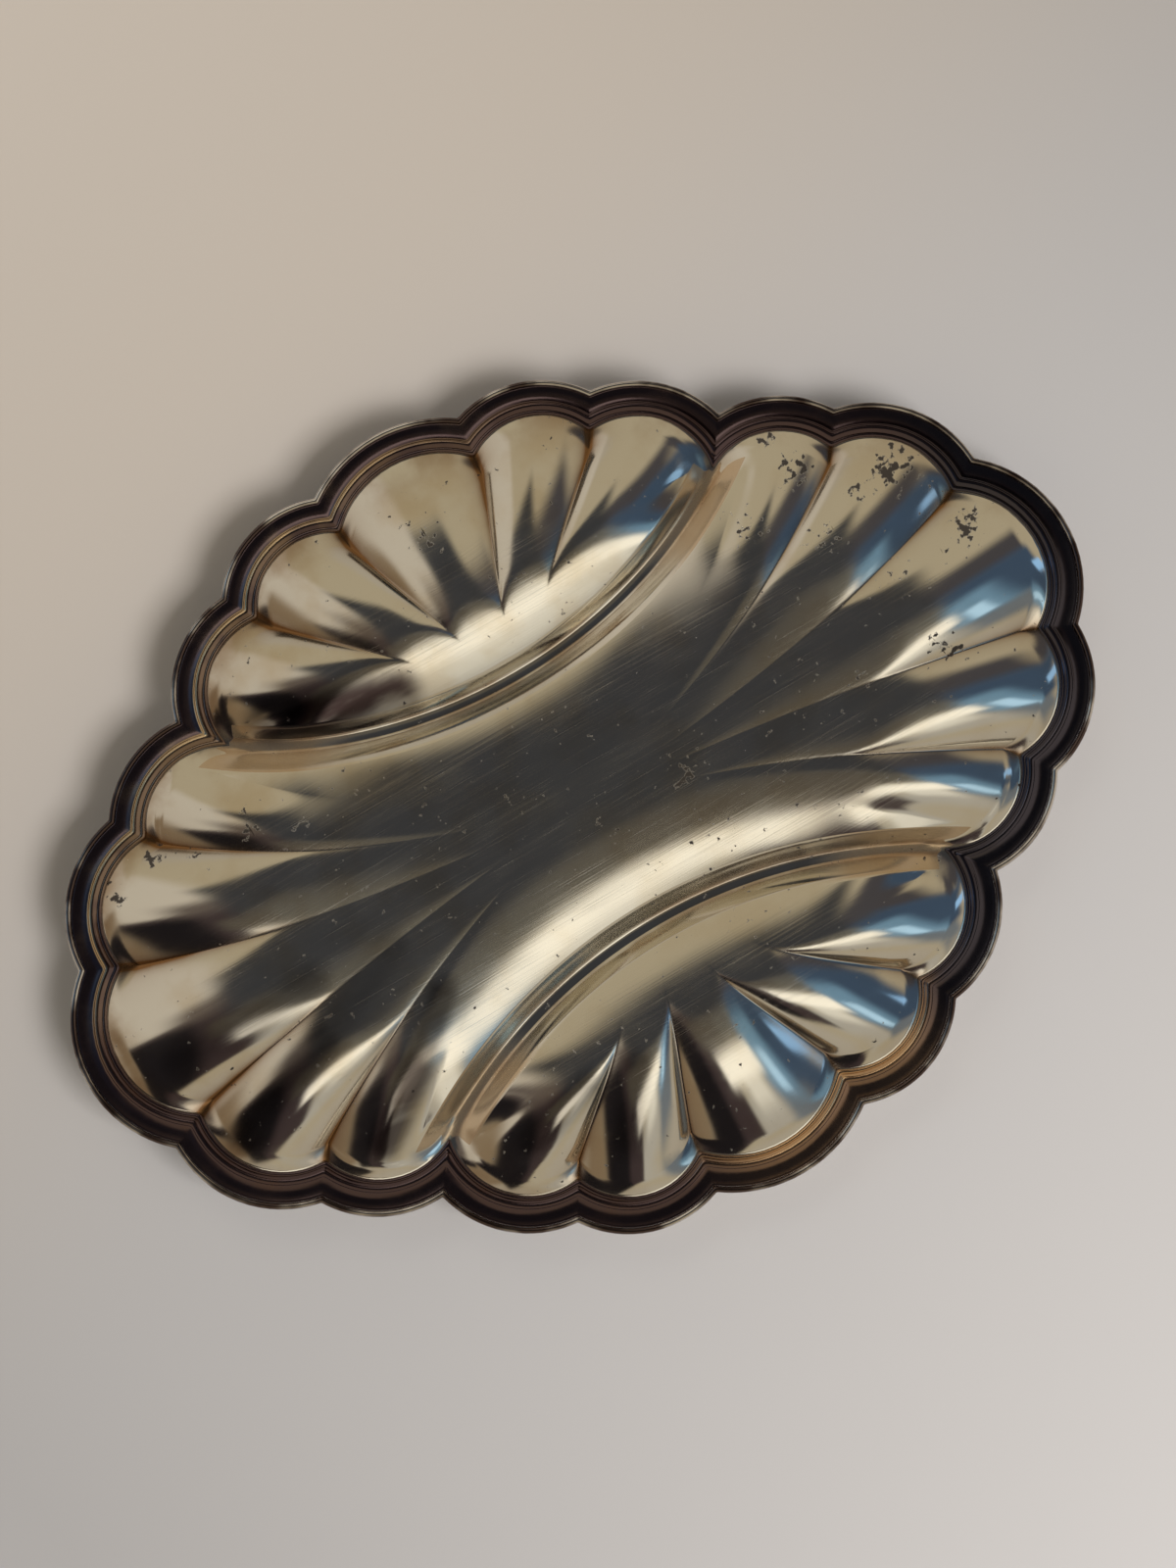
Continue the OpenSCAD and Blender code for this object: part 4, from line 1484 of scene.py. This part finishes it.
@dataclass
class EdgeWire:
    """The round wire along the platter's outer edge."""

    outline: Outline
    base: float = 19 * MM
    diameter: float = 2 * MM
    sides: int = 14
    sharp_degrees: float = 60
    finish: EdgeSilver = field(default_factory=EdgeSilver)

    def build(self) -> bpy.types.Object:
        """Makes the wire and gives it its finish.

        Returns:
            The piece.
        """
        r = self.diameter / 2
        angles = np.arange(self.sides) * math.tau / self.sides
        profile = [(r + r * math.cos(a), r + r * math.sin(a)) for a in angles]
        skin = swept(self.outline, profile, self.base, LEAST_ROUNDING)
        piece = skin.piece("edge_wire_skin", math.radians(self.sharp_degrees))
        piece.data.materials.append(self.finish.material())
        return placed(piece, "edge_wire")


def placed(piece: bpy.types.Object, node: str) -> bpy.types.Object:
    """Puts a piece on the platter's body, in place of its solid.

    Args:
        piece: The piece.
        node: The solid that it stands for.

    Returns:
        The piece.
    """
    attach(piece, "root")
    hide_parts(node)
    return piece


@dataclass(frozen=True)
class Panel:
    """A soft patch of the room that the metal mirrors: degrees off the zenith towards +X and towards +Y."""

    along_x: tuple[float, float]
    along_y: tuple[float, float]
    softness: float
    colour: Colour

    def mask(self, x: Value, y: Value) -> Value:
        """How far inside the panel a direction is.

        Args:
            x: Its degrees off the zenith towards +X.
            y: Its degrees off the zenith towards +Y.

        Returns:
            A value from 0 to 1.
        """
        return self.inside(x, *self.along_x) * self.inside(y, *self.along_y)

    def inside(self, at: Value, low: float, high: float) -> Value:
        """A step up at one value and down at another, both with the panel's softness."""
        soft = self.softness
        return at.step(low - soft, low + soft) * at.step(high + soft, high - soft)


@dataclass
class Studio:
    """The pale table, the room that the metal mirrors, the lamp and the camera."""

    # Painted light on the table: tints for its warm and cool lit sides, and factors for its painted shade
    # and light.
    table_cool_lit: Colour = (0.665, 0.66, 0.685)
    table_warm_lit: Colour = (0.73, 0.67, 0.62)
    table_painted_shade: Colour = (0.80, 0.80, 0.80)
    table_painted_light: Colour = (1.14, 1.14, 1.14)
    table_roughness: float = 0.55
    table_turn: float = -60
    table_size: float = 6.0
    wall: Colour = (0.44, 0.375, 0.26)
    horizon: Colour = (0.44, 0.39, 0.31)
    horizon_from: tuple[float, float] = (58, 76)
    panels: tuple[Panel, ...] = (
        Panel((17, 100), (-100, 1), 4, (0.56, 0.50, 0.41)),
        Panel((48, 66), (-20, 42), 5, (0.25, 0.18, 0.11)),
        Panel((-42, -10), (44, 62), 6, (0.17, 0.19, 0.21)),
        Panel((-44, 0), (-9, 14), 5, (0.065, 0.060, 0.065)),
        Panel((-50, -11), (8, 46), 5, (0.05, 0.080, 0.13)),
        Panel((-28, -11), (20, 46), 4, (0.17, 0.30, 0.42)),
        Panel((-12, 16), (12, 27), 4, (0.12, 0.11, 0.09)),
        Panel((-12, 19), (42, 58), 6, (0.45, 0.42, 0.36)),
        Panel((14.5, 49), (-1, 54), 2, (0.05, 0.035, 0.035)),
        Panel((30, 49), (2, 54), 3, (0.012, 0.010, 0.011)),
        Panel((-8, 8), (36, 47), 4, (0.80, 0.75, 0.64)),
        Panel((-14, 20), (28, 38.5), 2, (1.20, 1.12, 0.95)),
        Panel((3, 26), (13, 26), 2.5, (0.10, 0.085, 0.065)),
        Panel((-23, -17), (32, 45), 1.5, (0.52, 0.78, 1.00)),
        Panel((-54, -42), (24, 33), 1.5, (0.34, 0.60, 0.95)),
        Panel((8, 34), (-10, 3), 6, (0.12, 0.095, 0.080)),
        Panel((-13, 19), (-26, 13), 4, (0.042, 0.043, 0.047)),
    )
    eye: tuple[float, float, float] = (-45.8 * MM, -80.8 * MM, 725.2 * MM)
    target: tuple[float, float, float] = (3.1 * MM, 2.7 * MM, 20 * MM)
    up_azimuth: float = 59.8
    focal_length: float = 49.93
    sensor_width: float = 36.0
    sight: tuple[float, float] = (0.01, 50.0)
    lamp_place: tuple[float, float, float] = (0.45, -1.15, 1.55)
    lamp_size: tuple[float, float] = (0.9, 0.7)
    lamp_power: float = 26.0
    lamp_colour: Colour = (1.0, 0.97, 0.93)

    def table(self) -> bpy.types.Object:
        """Makes the table top, with painted light and shade on it.

        Returns:
            The table.
        """
        half = self.table_size / 2
        mesh = bpy.data.meshes.new("table_top")
        corners = [(-half, -half, 0), (half, -half, 0), (half, half, 0), (-half, half, 0)]
        mesh.from_pydata(corners, [], [[0, 1, 2, 3]])
        table = shown("table_top", mesh)
        made = bpy.data.materials.new("pale_table")
        nodes = Nodes(made)
        up, left, _ = nodes.parts(nodes.place(turn=math.radians(self.table_turn)))
        # Painted light and shade: a warm and cool tint, then a lighter and darker sweep across the table.
        colour = nodes.blend((up + left).step(-0.05, 0.3), self.table_cool_lit, self.table_warm_lit)
        light_and_shade = (0.45 + up * left * 8 + up * 0.25 - left * 0.3).at_least(0.02).at_most(0.98)
        colour = nodes.multiply(colour, nodes.blend(light_and_shade, self.table_painted_shade, self.table_painted_light))
        nodes.surface({"Base Color": colour, "Roughness": self.table_roughness})
        mesh.materials.append(made)
        return table

    def room(self) -> None:
        """Makes the world: a soft room with its panels."""
        world = bpy.data.worlds.new("soft_room")
        bpy.context.scene.world = world
        nodes = Nodes(world)
        way = nodes.add("ShaderNodeTexCoord").outputs["Generated"]
        x, y, z = nodes.parts(way)
        off = nodes.maths("ARCCOSINE", z) * math.degrees(1)
        share = off / nodes.maths("SQRT", x * x + y * y).at_least(0.001)
        colour = nodes.blend(off.step(*self.horizon_from), self.wall, self.horizon)
        for panel in self.panels:
            colour = nodes.blend(panel.mask(x * share, y * share), colour, panel.colour)
        shine = nodes.add("ShaderNodeBackground", None, {"Color": colour, "Strength": 1.0}).outputs[0]
        nodes.add("ShaderNodeOutputWorld", None, {"Surface": shine})

    def lamp(self) -> None:
        """Makes the soft key lamp, which throws the platter's shadow towards +Y."""
        data = bpy.data.lights.new("key", "AREA")
        data.shape = "RECTANGLE"
        data.size, data.size_y = self.lamp_size
        data.energy = self.lamp_power
        data.color = self.lamp_colour
        key = shown("key", data)
        self.aim(key, Vector(self.lamp_place), Vector((0, 0, 0)), Vector((0, 0, 1)))
        key.visible_glossy = False

    def camera(self) -> None:
        """Makes the camera, at the photograph's viewing angle."""
        data = bpy.data.cameras.new("camera")
        data.lens = self.focal_length
        data.sensor_width = self.sensor_width
        data.clip_start, data.clip_end = self.sight
        camera = shown("camera", data)
        turn = math.radians(self.up_azimuth)
        self.aim(camera, Vector(self.eye), Vector(self.target), Vector((math.cos(turn), math.sin(turn), 0)))
        bpy.context.scene.camera = camera

    @staticmethod
    def aim(thing: bpy.types.Object, eye: Vector, target: Vector, up: Vector) -> None:
        """Places an object at a point, looking at another.

        Args:
            thing: A camera or a lamp.
            eye: Where it stands.
            target: What it looks at.
            up: The direction that is up in its view.
        """
        back = (eye - target).normalized()
        right = up.cross(back).normalized()
        turn = Matrix((right, back.cross(right), back)).transposed()
        thing.matrix_world = Matrix.Translation(eye) @ turn.to_4x4()

    def build(self) -> None:
        """Makes the whole studio."""
        self.table()
        self.room()
        self.lamp()
        self.camera()
        bpy.context.scene.view_settings.view_transform = "Standard"


def main() -> None:
    """Builds the platter and its studio."""
    logging.basicConfig(level=logging.INFO, format="%(message)s")
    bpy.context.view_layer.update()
    outline = Outline()
    for maker in (Pan(outline), Border(outline), EdgeWire(outline)):
        piece = maker.build()
        log.info("%s: %d faces", piece.name, len(piece.data.polygons))
    Studio().build()


if __name__ == "__main__":
    main()
